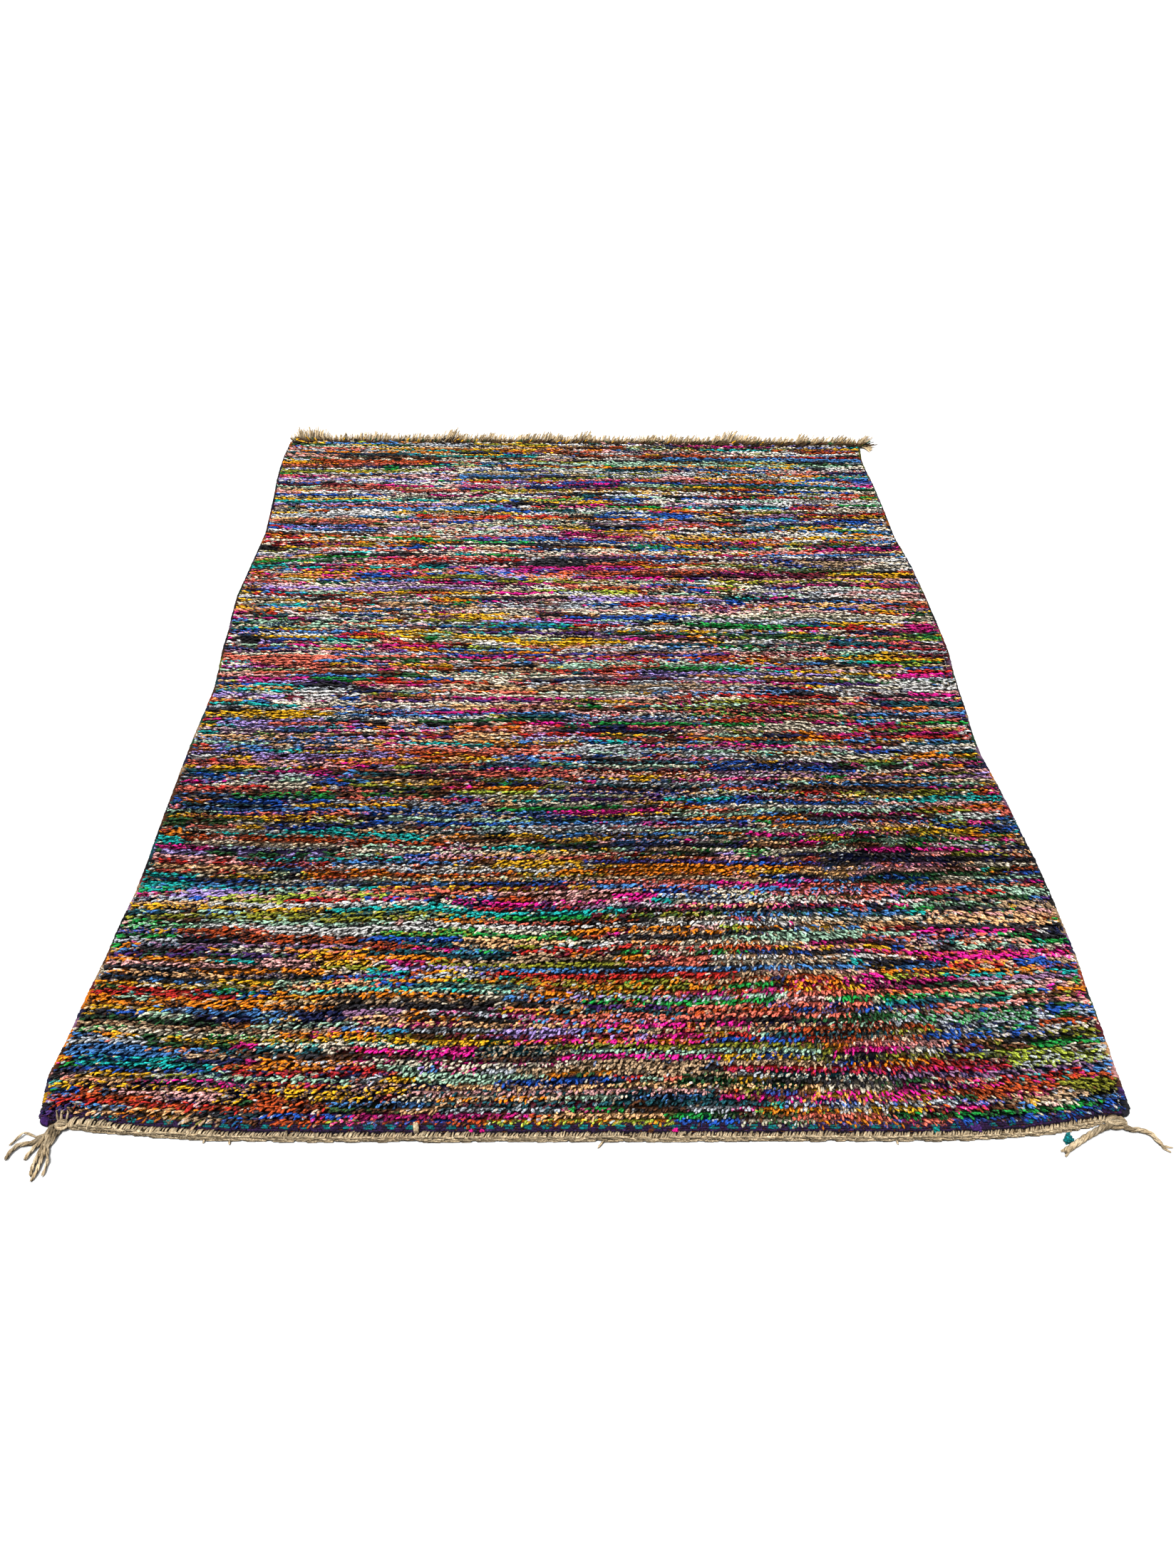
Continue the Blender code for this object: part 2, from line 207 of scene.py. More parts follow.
# The flat-woven heading in front of the pile, and the dark patch at its left end.
HEADING_MARGIN = 0.003
HEADING_SPAN = (0.0005, 0.0180)
HEADING_ROWS = 5
HEADING_STITCH = 0.0066
HEADING_REACH = 0.0046
HEADING_RADIUS = 0.0025
HEADING_HEIGHT = (0.008, 0.011)
HEADING_DASH_ROWS = (2, 3)
HEADING_DASH_PITCH = 0.035
HEADING_DASH = 0.016
DASHES_WANDER = (0.25, 7)
HEADING_PURPLE = "361D4A"
HEADING_TEAL = "0A8488"
# The first row, beside the roll, is darkened as painted shade.
HEADING_FIRST_SHADE = 0.2
HEADING_BROWNER = 0.5
HEADING_BROWN = 0.6
HEADING_TONE = -0.15
HEADING_TONES = 0.35
HEADING_FLECK = 0.5
HEADING_STRAYS = (0.0008, 0.0006, 0.0005)
STITCH_VARIES = 0.12
STITCH_SHAPE = ((-1, -0.55, 0.55, 1), (-0.0014, 0, 0, -0.0014))
PATCH_WIDTH = 0.062
PATCH_OF_PILE = 0.042
PATCH_ROWS = 2

# The overcast selvedges: wraps, and a fan of them round each front corner. Then the cords inside bindings.
WRAP_PITCH = 0.0046
WRAP_RADIUS = 0.0025
WRAP_SHAPE = (
    # across in half widths, height in the selvedge's own, along: from the inner side to the outer foot
    (-0.85, 0.45, 0.0016),
    (-0.62, 0.86, 0.0010),
    (0.0, 1.0, 0.0),
    (0.66, 0.82, -0.0010),
    (0.93, 0.42, -0.0016),
    (0.72, 0.12, -0.0020),
)
WRAP_STRAYS = 0.0004
WRAP_VARIES = (0.04, 0.08)  # in size and in thickness
WRAP_SEGMENT = (0.018, 0.06)
WRAP_TOP = 0.96
WRAP_RAISED = 0.0005
WRAP_TONES = 0.2
WRAP_FLECK = (0.6, 0.2)  # of its own wool, and of an earlier wrap's
WRAPS_BEFORE = 5
FAN_FLECK = 0.5
FAN_WRAPS = 11
FAN_REPLACES = 4
FAN_HUB = 1.9
SELVEDGE_INSIDE = "2A2628"
CORE_STATIONS = 120
CORE_HEIGHT = 0.42
SELVEDGE_CORE = 0.8
ROLL_CORE = 0.95

# The ecru roll: loops over a cord, and a band of strands along its front.
LOOP_PITCH = 0.0046
LOOP_RADIUS = 0.0019
LOOP_SHAPE = (
    # back in half widths, height in the roll's own, along: from behind, over the top, to the floor
    (1.08, 0.66, 0.0042),
    (0.92, 0.96, 0.0034),
    (0.42, 1.12, 0.0016),
    (-0.35, 1.00, -0.0006),
    (-0.85, 0.55, -0.0020),
    (-0.70, 0.20, -0.0024),
)
LOOP_SPREAD = (0.0010, 0.08, 0.18, 0.35)  # of its place in metres; of its size, thickness and slant in shares
LOOP_RINGS = (1.0, 1.1, 1.05, 1.0)
BAND_RADIUS = 0.0022
BAND_STRANDS = 1.8  # for each loop
BAND_RUN = (-0.0105, -0.0075, -0.0020, 0.0038, 0.0082, 0.0105)
BAND_HEIGHTS = (0.22, 1.02)
BAND_TILT = (0.03, 0.05)
BAND_INSET = 0.004
BAND_STRAYS = 0.0015
BAND_OUT = 0.95  # in half widths, times the root of how far a strand is below the crown
BAND_CROWN = 1.25
BAND_LEAST = 0.4
BAND_VARIES = 0.16
ROLL_TONES = 0.2
# The cord inside the roll is dark ecru, painted shade between its loops.
ROLL_CORE_SHADE = 0.25
# The roll is thickest at its left end, by this share over this reach, and has lumps: how thick, how close
# together, and how much they wander.
SWOLLEN_LEFT = (0.38, 0.10)
LUMPS = ((0.08, 41, 13), (0.06, 97, 0))

# The fringe: cut ends gathered in locks, short stubs over their foot, and a bundle at the right corner.
FRINGE_PITCH = 0.0019
FRINGE_RADIUS = 0.0018
FRINGE_RINGS = (1.1, 1.15, 1.0)
FRINGE_INSET = (0.004, 0.012)
FRINGE_STRAYS = 0.0016
FRINGE_LENGTHS = (0.78, 1.0)
FRINGE_BEND = 0.0030
FRINGE_FOOT = 0.0050
FRINGE_LIFT = 0.017
FRINGE_SINKS = 0.002
FRINGE_ROUGH = 0.0005
FRINGE_TURN = 3
FRINGE_VARIES = 0.15
TOOTH_REACH = 0.012
TOOTH_STATIONS = 900
FRINGE_AT = (0, 0.12, 0.5, 0.95, 1.0)
FRINGE_TAN = "D6BC92"
FRINGE_BROWN = "5A4326"
FRINGE_LOCK = 0.017
LOCK_PULL = 0.5
FRINGE_LEAN = ((-1.0, -0.85, -0.5, 0.0, 0.5, 0.9), (-0.22, -0.04, 0.12, 0.22, 0.34, 0.50))
LEAN_SPREAD = 0.05
LEAN_CURVE = 1.3
FRINGE_HEIGHTS = (0.0022, 0.022)
FRINGE_TONE = -0.05
FRINGE_TONE_SPREAD = 0.32
FRINGE_TONES = (0.45, 1.35)
STUB_HEIGHTS = (0.0022, 0.018)
STUB_SHIFT = (0.002, 0.002)
STUB_RAISED = 0.003
STUB_THICKER = 1.3
STUB_ODD = 0.3
STUB_LENGTHS = (0.15, 0.35)
STUB_FLECK = 0.6
STUB_YARNS = ("brown", "black", "black", "forest_green", "mustard")
BUNDLE_COUNT = 30
BUNDLE_REACH = 0.055
BUNDLE_LENGTHS = (0.75, 1.0)
BUNDLE_FAN = (-0.85, 0.75)
BUNDLE_STRAYS = (0.08, 0.0008)
BUNDLE_SINKS = 0.005
BUNDLE_TONES = (0.7, 1.1)
BUNDLE_FLECK = 0.8
BUNDLE_ROOT = (-0.030, 0.008, 0.009)  # from the high x, the low y and the floor

# Loose pile wool at the back corners: metres across from the middle, its yarn and its size.
BACK_TUFTS = (
    (-1.012, "mustard", 0.016),
    (-1.004, "brown", 0.016),
    (0.905, "forest_green", 0.020),
    (0.948, "forest_green", 0.018),
    (0.966, "black", 0.018),
    (0.984, "forest_green", 0.020),
)
TUFTS_BEHIND = 0.010
# Loose wool on the front edge: the same.
PUFFS = (
    (-0.227, "hot_pink", 0.010),
    (-0.207, "hot_pink", 0.009),
    (0.096, "brown", 0.011),
    (0.139, "hot_pink", 0.014),
    (0.610, "turquoise", 0.015),
    (0.681, "purple", 0.024),
)
# Teal wool caught in the right tassel: metres from the low corner of its box, and its size.
TEAL_TUFTS = ((0.024, 0.041, 0.004, 0.022), (0.022, 0.035, 0.003, 0.018))
PUFF_BEHIND = 0.002
PUFF_HEIGHT = 0.010
PUFF_STRANDS = 20
PUFF_SPREAD = (1, 0.8, 0.6)
PUFF_WAY = (0, 0, 0.5)
PUFF_REACH = (0.35, 0.6)
PUFF_AT = (0, 0.3, 0.85, 1)
PUFF_RADIUS = 0.09
PUFF_THINNEST = 0.0008
PUFF_TONES = 0.25
PUFF_FLECK = 0.6
# Ecru ends that hang in front of the roll: metres across from the middle, how far out, and their slant.
NUBS = ((-0.698, 0.008, -0.003), (-0.655, 0.009, 0.002), (0.013, 0.015, -0.014), (0.535, 0.008, 0.003))
NUB_RADIUS = 0.0021
NUB_FROM = 0.6
NUB_HEIGHTS = (0.006, 0.002)
# One ecru end of two plies stands up and lies back over the heading: where, how far along and how high.
UPRIGHT_END = -0.323
UPRIGHT_PLIES = (-0.0022, 0.0022)
UPRIGHT_RUN = (-0.004, 0.026)
UPRIGHT_HEIGHT = 0.010
UPRIGHT_ARCH = (0.009, 2.2)
UPRIGHT_RINGS = (0.0034, 0.0036, 0.0034, 0.0028)

# Overcast colours, from the front corner backwards, then picked at random, and their tone by place along.
LEFT_BINDING = ("purple", "charcoal", "mustard", "navy", "brown", "amber", "black", "amber", "mauve")
RIGHT_BINDING = ("charcoal", "purple", "brown", "dusty_pink", "tan", "burgundy", "forest_green", "charcoal")
BINDING_TONE = ((-0.8, 0.4), (1.0, 0.4))
BINDING_YARNS = ("brown", "taupe", "black", "rust", "forest_green", "charcoal", "olive", "brown", "navy",
                 "amber", "dark_teal", "burgundy", "charcoal", "black", "mauve")

# The corner tassels, in millimetres from the low corner of each one's box.
PER_METRE = 1000
LEFT_KNOT = (84, 118, 8.5)
LEFT_KNOT_SIZE = (26, 24, 16)
LEFT_YARNS = (
    # radius, radius at the tip, plies, tone, route
    (3.0, 2.2, 2, 1.0, ((77, 122, 6), (66, 102, 9), (50, 90, 10), (32, 99, 10), (22, 102, 9), (12, 90, 5),
                        (2, 77, 3))),
    (5.8, 3.2, 3, 0.62, ((74, 122, 7), (60, 92, 7), (44, 81, 7), (20, 77, 7), (9, 62, 5), (7, 46, 4))),
    (5.0, 3.0, 3, 0.8, ((71, 118, 10), (60, 84, 9), (50, 72, 6), (43, 57, 5), (40, 46, 4))),
    (5.0, 3.0, 3, 1.0, ((76, 112, 9), (66, 78, 8), (61, 54, 5), (59, 28, 5), (62, 13, 3))),
    (5.0, 2.8, 3, 0.95, ((80, 108, 6), (69, 75, 6), (70, 50, 6), (69, 21, 5), (64, 3, 3))),
    (3.6, 2.6, 2, 0.9, ((84, 112, 5), (73, 72, 5), (82, 42, 5), (81, 13, 3))),
    (1.7, 1.7, 2, 0.95, ((78, 122, 10), (69, 144, 14), (72, 154, 15), (77, 146, 14), (82, 122, 10))),
    (1.7, 1.7, 2, 0.85, ((84, 122, 10), (80, 144, 14), (84, 151, 15), (90, 142, 13), (92, 120, 10))),
)
RIGHT_KNOT = (119, 72, 10)
RIGHT_KNOT_SIZE = (42, 32, 18)
RIGHT_YARNS = (
    (6.6, 6.0, 3, 0.95, ((114, 69, 9), (89, 60, 9), (57, 43, 8), (25, 23, 7), (5, 10, 6))),
    (2.4, 2.0, 2, 1.0, ((30, 27, 8), (14, 20, 6), (1, 14, 3))),
    (2.4, 2.0, 2, 1.0, ((30, 24, 8), (14, 10, 6), (6, 3, 3))),
    (5.6, 4.0, 3, 0.95, ((124, 70, 9), (138, 58, 8), (159, 57, 7), (176, 50, 6), (183, 35, 5), (189, 24, 4))),
    (2.6, 1.8, 2, 1.0, ((182, 36, 5), (190, 24, 4), (207, 21, 3))),
    (2.6, 1.8, 2, 0.9, ((184, 36, 5), (188, 20, 4), (200, 11, 3))),
)
KNOT_LOOPS = 8
KNOT_RADIUS = 0.0028
KNOT_TURN = 2 * math.pi * 1.04
PLY_OUT = 0.5
PLY_RADIUS = 0.62
YARN_TWIST = 0.045
YARN_POINTS = 18
KNOT_TILT = 0.3
KNOT_STRAYS = 0.0012
KNOT_LOOP_SIZES = (0.75, 1.0)
TASSEL_TONES = 0.16

# The seed of each piece's random draws. The overcast's is one less on the left and one more on the right.
SEEDS = {"pile": 11, "mat": 12, "overcast": 23, "heading": 28, "roll": 32, "fringe": 36, "tufts": 40,
         "tassel_left": 31, "tassel_right": 32}

# Natural wool: its colour, its shade, the limits of its tone, and how many strands are how much warmer.
ECRU = "DFC8A4"
ECRU_SHADE = "9C7F55"
ECRU_TONES = (0.6, 1.35)
WARM_STRANDS = 0.12
WARMER_BY = 0.35

# The wools. grain is how fine the fibres are round and along a strand, pale and dark how much of such
# wool is carded in, and soft how far loose fibres spread the shading. Wool has painted shade at the root and
# underneath, and where there is hollow shade it is painted darkest below the first height and open above
# the second, and the third is its tone at the bottom.
WOOLS = {
    # name: grain, painted shade at the root in shares of full, full tone, pale, dark, painted shade
    # underneath, soft, hollow shade
    "pile_wool": ((6.0, 2.6), 0.04, 1.4, 0.8, 0.85, 0.3, 0.82, (0.0090, 0.0165, 0.02)),
    "heading_wool": ((6.0, 2.0), 0.6, 0.8, 0.1, 0.5, 0.2, 0.3, None),
    "selvedge_wool": ((5.0, 3.0), 0.6, 0.7, 0.1, 0.5, 0.2, 0.3, None),
    "natural_wool": ((5.0, 3.0), 0.4, 0.84, 0.4, 0.4, 0.12, 0.6, None),
    "fringe_wool": ((5.0, 3.0), 0.15, 1.0, 0.3, 0.4, 0.8, 0.4, None),
}
FIBRES = 90.0
FIBRE_NOISE = (1.3, 0.65)
NOISE_DETAIL = 3.0
FIBRE_TONES = (0.6, 1.4)
CARDED = 420.0
PLY_TURNS = 2.6
PLY_EDGES = (-0.8, 1.0)
PLIES_STRAY = 7.0
FLECK_SHARE = 0.5
PALE_SPECKS = (0.54, 0.62)
PALE_FIBRE = (0.045, 0.040, 0.034)
PALER = 1.7
DARK_SPECKS = (0.46, 0.38)
DARK_FIBRE = (0.02, 0.018, 0.02, 1)
NOISE_SPAN = (0.38, 0.62)
# Spans of the painted shade: from root to open along a strand, and from facing down to facing up.
ROOT_TO_OPEN = (0.05, 0.8)
DOWN_TO_UP = (-0.1, 0.85)
WOOL_RELIEF = (0.6, 0.0015)
WOOL_SURFACE = {"Roughness": 0.92, "Specular IOR Level": 0.06, "Sheen Weight": 0.04, "Sheen Roughness": 0.6}
MATTED = (420.0, 640.0, 500.0)
MAT_FIBRE_TONES = (0.1, 1.9)
MAT_RELIEF = (0.9, 0.002)
MAT_SURFACE = {"Roughness": 0.95, "Specular IOR Level": 0.05}

# How the frame is measured: stations along an edge or a binding, and how far they stay from its ends.
SIDE_STATIONS = 160
SIDE_MARGINS = (0.05, 0.01)
FRONT_STATIONS = 120
FRONT_MARGIN = 0.004
STRAIGHTENS = 6  # the power by which rows leave the front edge's shape
ROUTE_STATIONS = 300
ROUTE_MARGIN = 0.009

# Tubes: their sides, how far each stays above the floor, and how far inside its own cell of the bake map.
FEW_SIDES = 3
PLAIN_SIDES = 4
TASSEL_SIDES = 6
CORE_SIDES = 8
FLOOR_GAP = 0.0003
BAKE_MARGIN = 0.04

# The stage: the camera as it was fitted to the photograph, with its angles in degrees, and the light.
CAMERA_PLACE = (-0.0692, -2.9266, 1.9372)
CAMERA_LENS = 29.81
CAMERA_SENSOR = 36.0
CAMERA_PITCH = 38.18
CAMERA_YAW = 1.575
CAMERA_ROLL = 1.124
SKY_STRENGTH = 0.5
SUN_STRENGTH = 4.2
SUN_SPREAD = 22
SUN_WAY = (0.3, 0.45, -1.0)
FLOOR_REACH = 30
FLOOR_SURFACE = {"Base Color": (0.88, 0.88, 0.88, 1), "Roughness": 0.9}


def linear(hex_colour):
    """Linear RGB of an sRGB colour written as six hex digits."""
    values = np.array([int(hex_colour[k:k + 2], 16) for k in (0, 2, 4)]) / 255
    return np.where(values <= 0.04045, values / 12.92, ((values + 0.055) / 1.055) ** 2.4)


YARN_COLOURS = np.array([linear(row[1]) for row in YARNS])
YARN_NUMBER = {row[0]: k for k, row in enumerate(YARNS)}
DARK_YARNS = {YARN_NUMBER[name] for name in ("black", "charcoal", "navy", "burgundy")}


def yarn(name):
    """The linear colour of a yarn."""
    return YARN_COLOURS[YARN_NUMBER[name]]


def blend(share, ends):
    """Between two values, at a share from 0 to 1."""
    return np.interp(share, (0, 1), ends)


def varied(random, spread, shape):
    """Random factors around one."""
    return 1 + random.normal(0, spread, shape)


def shades(random, spread, count, mean=0.0, limits=(0.0, np.inf)):
    """A random tone for each strand."""
    return np.exp(random.normal(mean, spread, count)).clip(*limits)[:, None]


# Measuring the frame.

def spans(node, axis, stations):
    """Lowest and highest place of a CAD node across, in plan, at each station along the axis."""
    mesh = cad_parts[node].data
    points = np.array([v.co for v in mesh.vertices])[:, :2]
    ends = np.array([e.vertices for e in mesh.edges])
    a, b = points[ends[:, 0]], points[ends[:, 1]]
    low, high = np.full(len(stations), np.nan), np.full(len(stations), np.nan)
    for k, at in enumerate(stations):
        crossing = (a[:, axis] - at) * (b[:, axis] - at) <= 0
        p, q = a[crossing], b[crossing]
        run = q[:, axis] - p[:, axis]
        share = np.where(abs(run) > 1e-9, (at - p[:, axis]) / np.where(run == 0, 1, run), 0)
        across = p[:, 1 - axis] + share * (q[:, 1 - axis] - p[:, 1 - axis])
        if len(across):
            low[k], high[k] = across.min(), across.max()
    known = ~np.isnan(low)
    return np.interp(stations, stations[known], low[known]), np.interp(stations, stations[known], high[known])


class Body:
    """The outline of the woven body in plan, as the frame has it."""

    def __init__(self):
        low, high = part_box("rug_body")
        self.ys = np.linspace(low.y + SIDE_MARGINS[0], high.y - SIDE_MARGINS[1], SIDE_STATIONS)
        self.lefts, self.rights = spans("rug_body", 1, self.ys)
        self.xs = np.linspace(self.lefts[0] + FRONT_MARGIN, self.rights[0] - FRONT_MARGIN, FRONT_STATIONS)
        self.fronts, _ = spans("rug_body", 0, self.xs)
        self.front, self.back = self.fronts.min(), high.y
        self.width = self.rights.mean() - self.lefts.mean()

    def sides(self, y):
        """Where the left and right edges are at y."""
        return np.interp(y, self.ys, self.lefts), np.interp(y, self.ys, self.rights)

    def place(self, across, along):
        """Points at these shares of the way across and along. Rows near the front follow its edge."""
        straight = self.front + (self.back - self.front) * along
        left, right = self.sides(straight)
        x = left + (right - left) * across
        drawn = np.interp(x, self.xs, self.fronts) - self.front
        return x, straight + drawn * (1 - along) ** STRAIGHTENS


def field(seed, across, along):
    """A smooth random surface over the rug, from -1 to 1: a function of shares across and along."""
    grid = np.random.default_rng(seed).uniform(-1, 1, (along + 2, across + 2))

    def value(u, v):
        x, y = np.clip(u, 0, 1) * across, np.clip(v, 0, 1) * along
        i, j = x.astype(int), y.astype(int)
        fx, fy = (1 - np.cos(np.pi * (x - i))) / 2, (1 - np.cos(np.pi * (y - j))) / 2
        near = grid[j, i] * (1 - fx) + grid[j, i + 1] * fx
        far = grid[j + 1, i] * (1 - fx) + grid[j + 1, i + 1] * fx
        return near * (1 - fy) + far * fy

    return value


# Pieces made of many small tubes at once.

def unit(vectors):
    return vectors / np.maximum(np.linalg.norm(vectors, axis=-1, keepdims=True), 1e-12)


def joined(parts):
    """The columns of these rows of arrays, each joined into one array."""
    return [np.concatenate(column) for column in zip(*parts)]


def linked(name, data):
    obj = bpy.data.objects.new(name, data)
    bpy.context.scene.collection.objects.link(obj)
    return obj


def piece_of(data, material, **colours):
    """An object of this mesh, with a colour for each point under each name."""
    for name, values in colours.items():
        layer = data.attributes.new(name, "FLOAT_COLOR", "POINT")
        opaque = np.concatenate([values, np.ones((len(values), 1))], axis=1)
        layer.data.foreach_set("color", opaque.astype(np.float32).ravel())
    data.materials.append(material)
    return linked(data.name, data)


def tube_corners(rings, sides, shares):
    """Corners of one tube's triangles: a vertex, and its place round and along. shares has each point's."""
    tip = rings * sides + 1

    def at(ring, k):
        return 1 + ring * sides + k % sides, k / sides, shares[ring + 1]

    corners = []
    for k in range(sides):
        middle = (k + 0.5) / sides
        corners += [(0, middle, shares[0]), at(0, k + 1), at(0, k)]
        for ring in range(rings - 1):
            corners += [at(ring, k), at(ring, k + 1), at(ring + 1, k)]
            corners += [at(ring, k + 1), at(ring + 1, k + 1), at(ring + 1, k)]
        corners += [at(rings - 1, k), at(rings - 1, k + 1), (tip, middle, shares[-1])]
    return np.array(corners)


def strands(name, centres, radii, colours, flecks, sides, material, aside=None):
    """Closed tubes joined into one piece. centres is (tubes, points, 3): the first and last point of
    each tube are its tips, and the others have a ring of this radius. aside is a direction across."""
    count, points = centres.shape[:2]
    rings = points - 2
    each = rings * sides + 2
    tangents = unit(centres[:, 2:] - centres[:, :-2])
    if aside is None:
        aside = np.random.default_rng(count).normal(size=(count, 3))
    across = unit(np.cross(tangents, np.broadcast_to(aside, (count, 3))[:, None, :]))
    upward = np.cross(across, tangents)
    angles = (np.arange(sides) * 2 * np.pi / sides)[:, None]
    ring = across[:, :, None, :] * np.cos(angles) + upward[:, :, None, :] * np.sin(angles)
    ring = (centres[:, 1:-1, None, :] + ring * radii[:, :, None, None]).reshape(count, rings * sides, 3)
    vertices = np.concatenate([centres[:, :1], ring, centres[:, -1:]], axis=1)
    vertices[..., 2] = np.maximum(vertices[..., 2], FLOOR_GAP)
    steps = np.linalg.norm(np.diff(centres, axis=1), axis=2).mean(axis=0)
    walked = np.concatenate([[0], np.cumsum(steps)])
    corners = tube_corners(rings, sides, walked / walked[-1])
    used = (corners[:, 0].astype(int) + each * np.arange(count)[:, None]).ravel()
    places = corners[:, 1:]

    data = bpy.data.meshes.new(name)
    data.vertices.add(count * each)
    data.vertices.foreach_set("co", vertices.astype(np.float32).ravel())
    data.loops.add(len(used))
    data.loops.foreach_set("vertex_index", used.astype(np.int32))
    data.polygons.add(len(used) // 3)
    data.polygons.foreach_set("loop_start", np.arange(0, len(used), 3, dtype=np.int32))
    data.update(calc_edges=True)
    data.shade_smooth()
    columns = math.ceil(math.sqrt(count))
    cell = np.stack([np.arange(count) % columns, np.arange(count) // columns], axis=1)[:, None]
    bake = (cell + BAKE_MARGIN + (1 - 2 * BAKE_MARGIN) * places) / columns
    for label, values in (("Strand", np.tile(places, (count, 1))), ("OFBake", bake)):
        layer = data.uv_layers.new(name=label)
        layer.data.foreach_set("uv", values.astype(np.float32).ravel())
    wool, fleck = (np.repeat(np.broadcast_to(tint, (count, 3)), each, axis=0) for tint in (colours, flecks))
    return piece_of(data, material, Wool=wool, Fleck=fleck)


# Materials.

class Shader:
    """A material and its nodes. Each method adds one node, and returns what comes out of it."""

    def __init__(self, name):
        self.material = bpy.data.materials.new(name)
        self.material.use_nodes = True
        self.tree = self.material.node_tree

    def feed(self, node, inputs):
        """Sets each input to its value, or links it to the output that it is given."""
        for key, value in inputs.items():
            if isinstance(value, bpy.types.NodeSocket):
                self.tree.links.new(value, node.inputs[key])
            else:
                node.inputs[key].default_value = value

    def node(self, kind, output, inputs, **settings):
        made = self.tree.nodes.new("ShaderNode" + kind)
        for key, value in settings.items():
            setattr(made, key, value)
        self.feed(made, inputs)
        return made.outputs[output]

    def colour(self, name):
        return self.node("Attribute", "Color", {}, attribute_name=name)

    def place(self):
        return self.node("TexCoord", "Object", {})

    def part(self, vector, letter):
        return self.node("SeparateXYZ", letter, {0: vector})

    def maths(self, operation, *values):
        return self.node("Math", 0, dict(enumerate(values)), operation=operation)

    def vector(self, operation, *values):
        return self.node("VectorMath", 0, dict(enumerate(values)), operation=operation)

    def noise(self, vector, scale=1.0, roughness=0.5):
        inputs = {"Vector": vector, "Scale": scale, "Detail": NOISE_DETAIL, "Roughness": roughness}
        return self.node("TexNoise", "Fac", inputs, noise_dimensions="3D")

    def ramp(self, value, span, ends, kind="LINEAR"):
        inputs = dict(zip(("Value", "From Min", "From Max", "To Min", "To Max"), (value, *span, *ends)))
        return self.node("MapRange", "Result", inputs, interpolation_type=kind)

    def mixed(self, share, a, b, kind="RGBA"):
        return self.node("Mix", "Result", {"Factor": share, "A": a, "B": b}, data_type=kind)

    def relief(self, height, strength, distance):
        return self.node("Bump", 0, {"Height": height, "Strength": strength, "Distance": distance})

    def toned(self, colour, tone):
        return self.node("VectorMath", 0, {0: colour, "Scale": tone}, operation="SCALE")

    def finished(self, *inputs):
        """The material, with all these inputs to its surface."""
        for some in inputs:
            self.feed(self.tree.nodes["Principled BSDF"], some)
        return self.material


def wool_material(name):
    """Yarn in its strands' own colours, mottled along its fibres, with painted shade at the root, underneath
    and low down.
    """
    grain, root, full, pale, dark, underside_shade, soft, hollow_shade = WOOLS[name]
    made = Shader(name)
    strand, place = made.node("UVMap", "UV", {}, uv_map="Strand"), made.place()
    along = made.part(strand, "Y")

    # Fibres run along the strand, and differ from one strand to the next.
    grained = made.vector("MULTIPLY", strand, (*grain, 1.0))
    fibres = made.noise(made.vector("MULTIPLY_ADD", place, (FIBRES,) * 3, grained), *FIBRE_NOISE)

    # Two plies of different wool are twisted round each other, and fibres stray between them.
    turned = made.maths("MULTIPLY", along, 2 * math.pi * PLY_TURNS)
    around = made.maths("MULTIPLY_ADD", made.part(strand, "X"), 2 * math.pi, turned)
    plies = made.maths("SINE", made.maths("MULTIPLY_ADD", fibres, PLIES_STRAY, around))
    mottle = made.ramp(plies, PLY_EDGES, (0.0, FLECK_SHARE))
    wool = made.mixed(mottle, made.colour("Wool"), made.colour("Fleck"))

    # Pale and dark fibres are carded into the wool.
    specks = made.noise(made.vector("MULTIPLY_ADD", place, (CARDED,) * 3, grained))
    paler = made.vector("MULTIPLY_ADD", wool, (PALER,) * 3, PALE_FIBRE)
    wool = made.mixed(made.ramp(specks, PALE_SPECKS, (0.0, pale)), wool, paler)
    wool = made.mixed(made.ramp(specks, DARK_SPECKS, (0.0, dark)), wool, DARK_FIBRE)

    # Painted shade: a strand is darker towards its root and underneath, and so is all wool that lies deep.
    root_shade = made.ramp(along, ROOT_TO_OPEN, (root * full, full), "SMOOTHSTEP")
    shade = made.maths("MULTIPLY", root_shade, made.ramp(fibres, NOISE_SPAN, FIBRE_TONES))
    relief = made.relief(specks, *WOOL_RELIEF)
    shaded_below = made.ramp(made.part(relief, "Z"), DOWN_TO_UP, (underside_shade, 1.0))
    shade = made.maths("MULTIPLY", shade, shaded_below)
    if hollow_shade is not None:
        *heights, bottom = hollow_shade
        sunk = made.ramp(made.part(place, "Z"), heights, (bottom, 1.0), "SMOOTHSTEP")
        shade = made.maths("MULTIPLY", shade, sunk)

    # Loose fibres catch light from above on every side of a strand.
    normal = made.vector("NORMALIZE", made.mixed(soft, relief, (0, 0, 1), "VECTOR"))
    return made.finished(WOOL_SURFACE, {"Base Color": made.toned(wool, shade), "Normal": normal})


def ground_material():
    """Matted wool under the cut ends: the knots' colours, darkened as painted shade, broken into short fibres
    along the rows.
    """
    made = Shader("ground_weave")
    fibres = made.noise(made.vector("MULTIPLY", made.place(), MATTED))
    wool = made.toned(made.colour("Wool"), made.ramp(fibres, NOISE_SPAN, MAT_FIBRE_TONES))
    return made.finished(MAT_SURFACE, {"Base Color": wool, "Normal": made.relief(fibres, *MAT_RELIEF)})


# The pile's colours.

def likely_yarns(x, y, v):
    """How often each yarn is picked at a place of the rug, v of the way along it."""
    weights = np.array([np.interp(v, (0, 0.5, 1), row[2:]) for row in YARNS])
    for tint_x, tint_y, across, along, times, names in TINTS:
        closeness = math.exp(-((x - tint_x) / across) ** 2 - ((y - tint_y) / along) ** 2)
        for name in names:
            weights[YARN_NUMBER[name]] *= 1 + (times - 1) * closeness
    return weights / weights.sum()


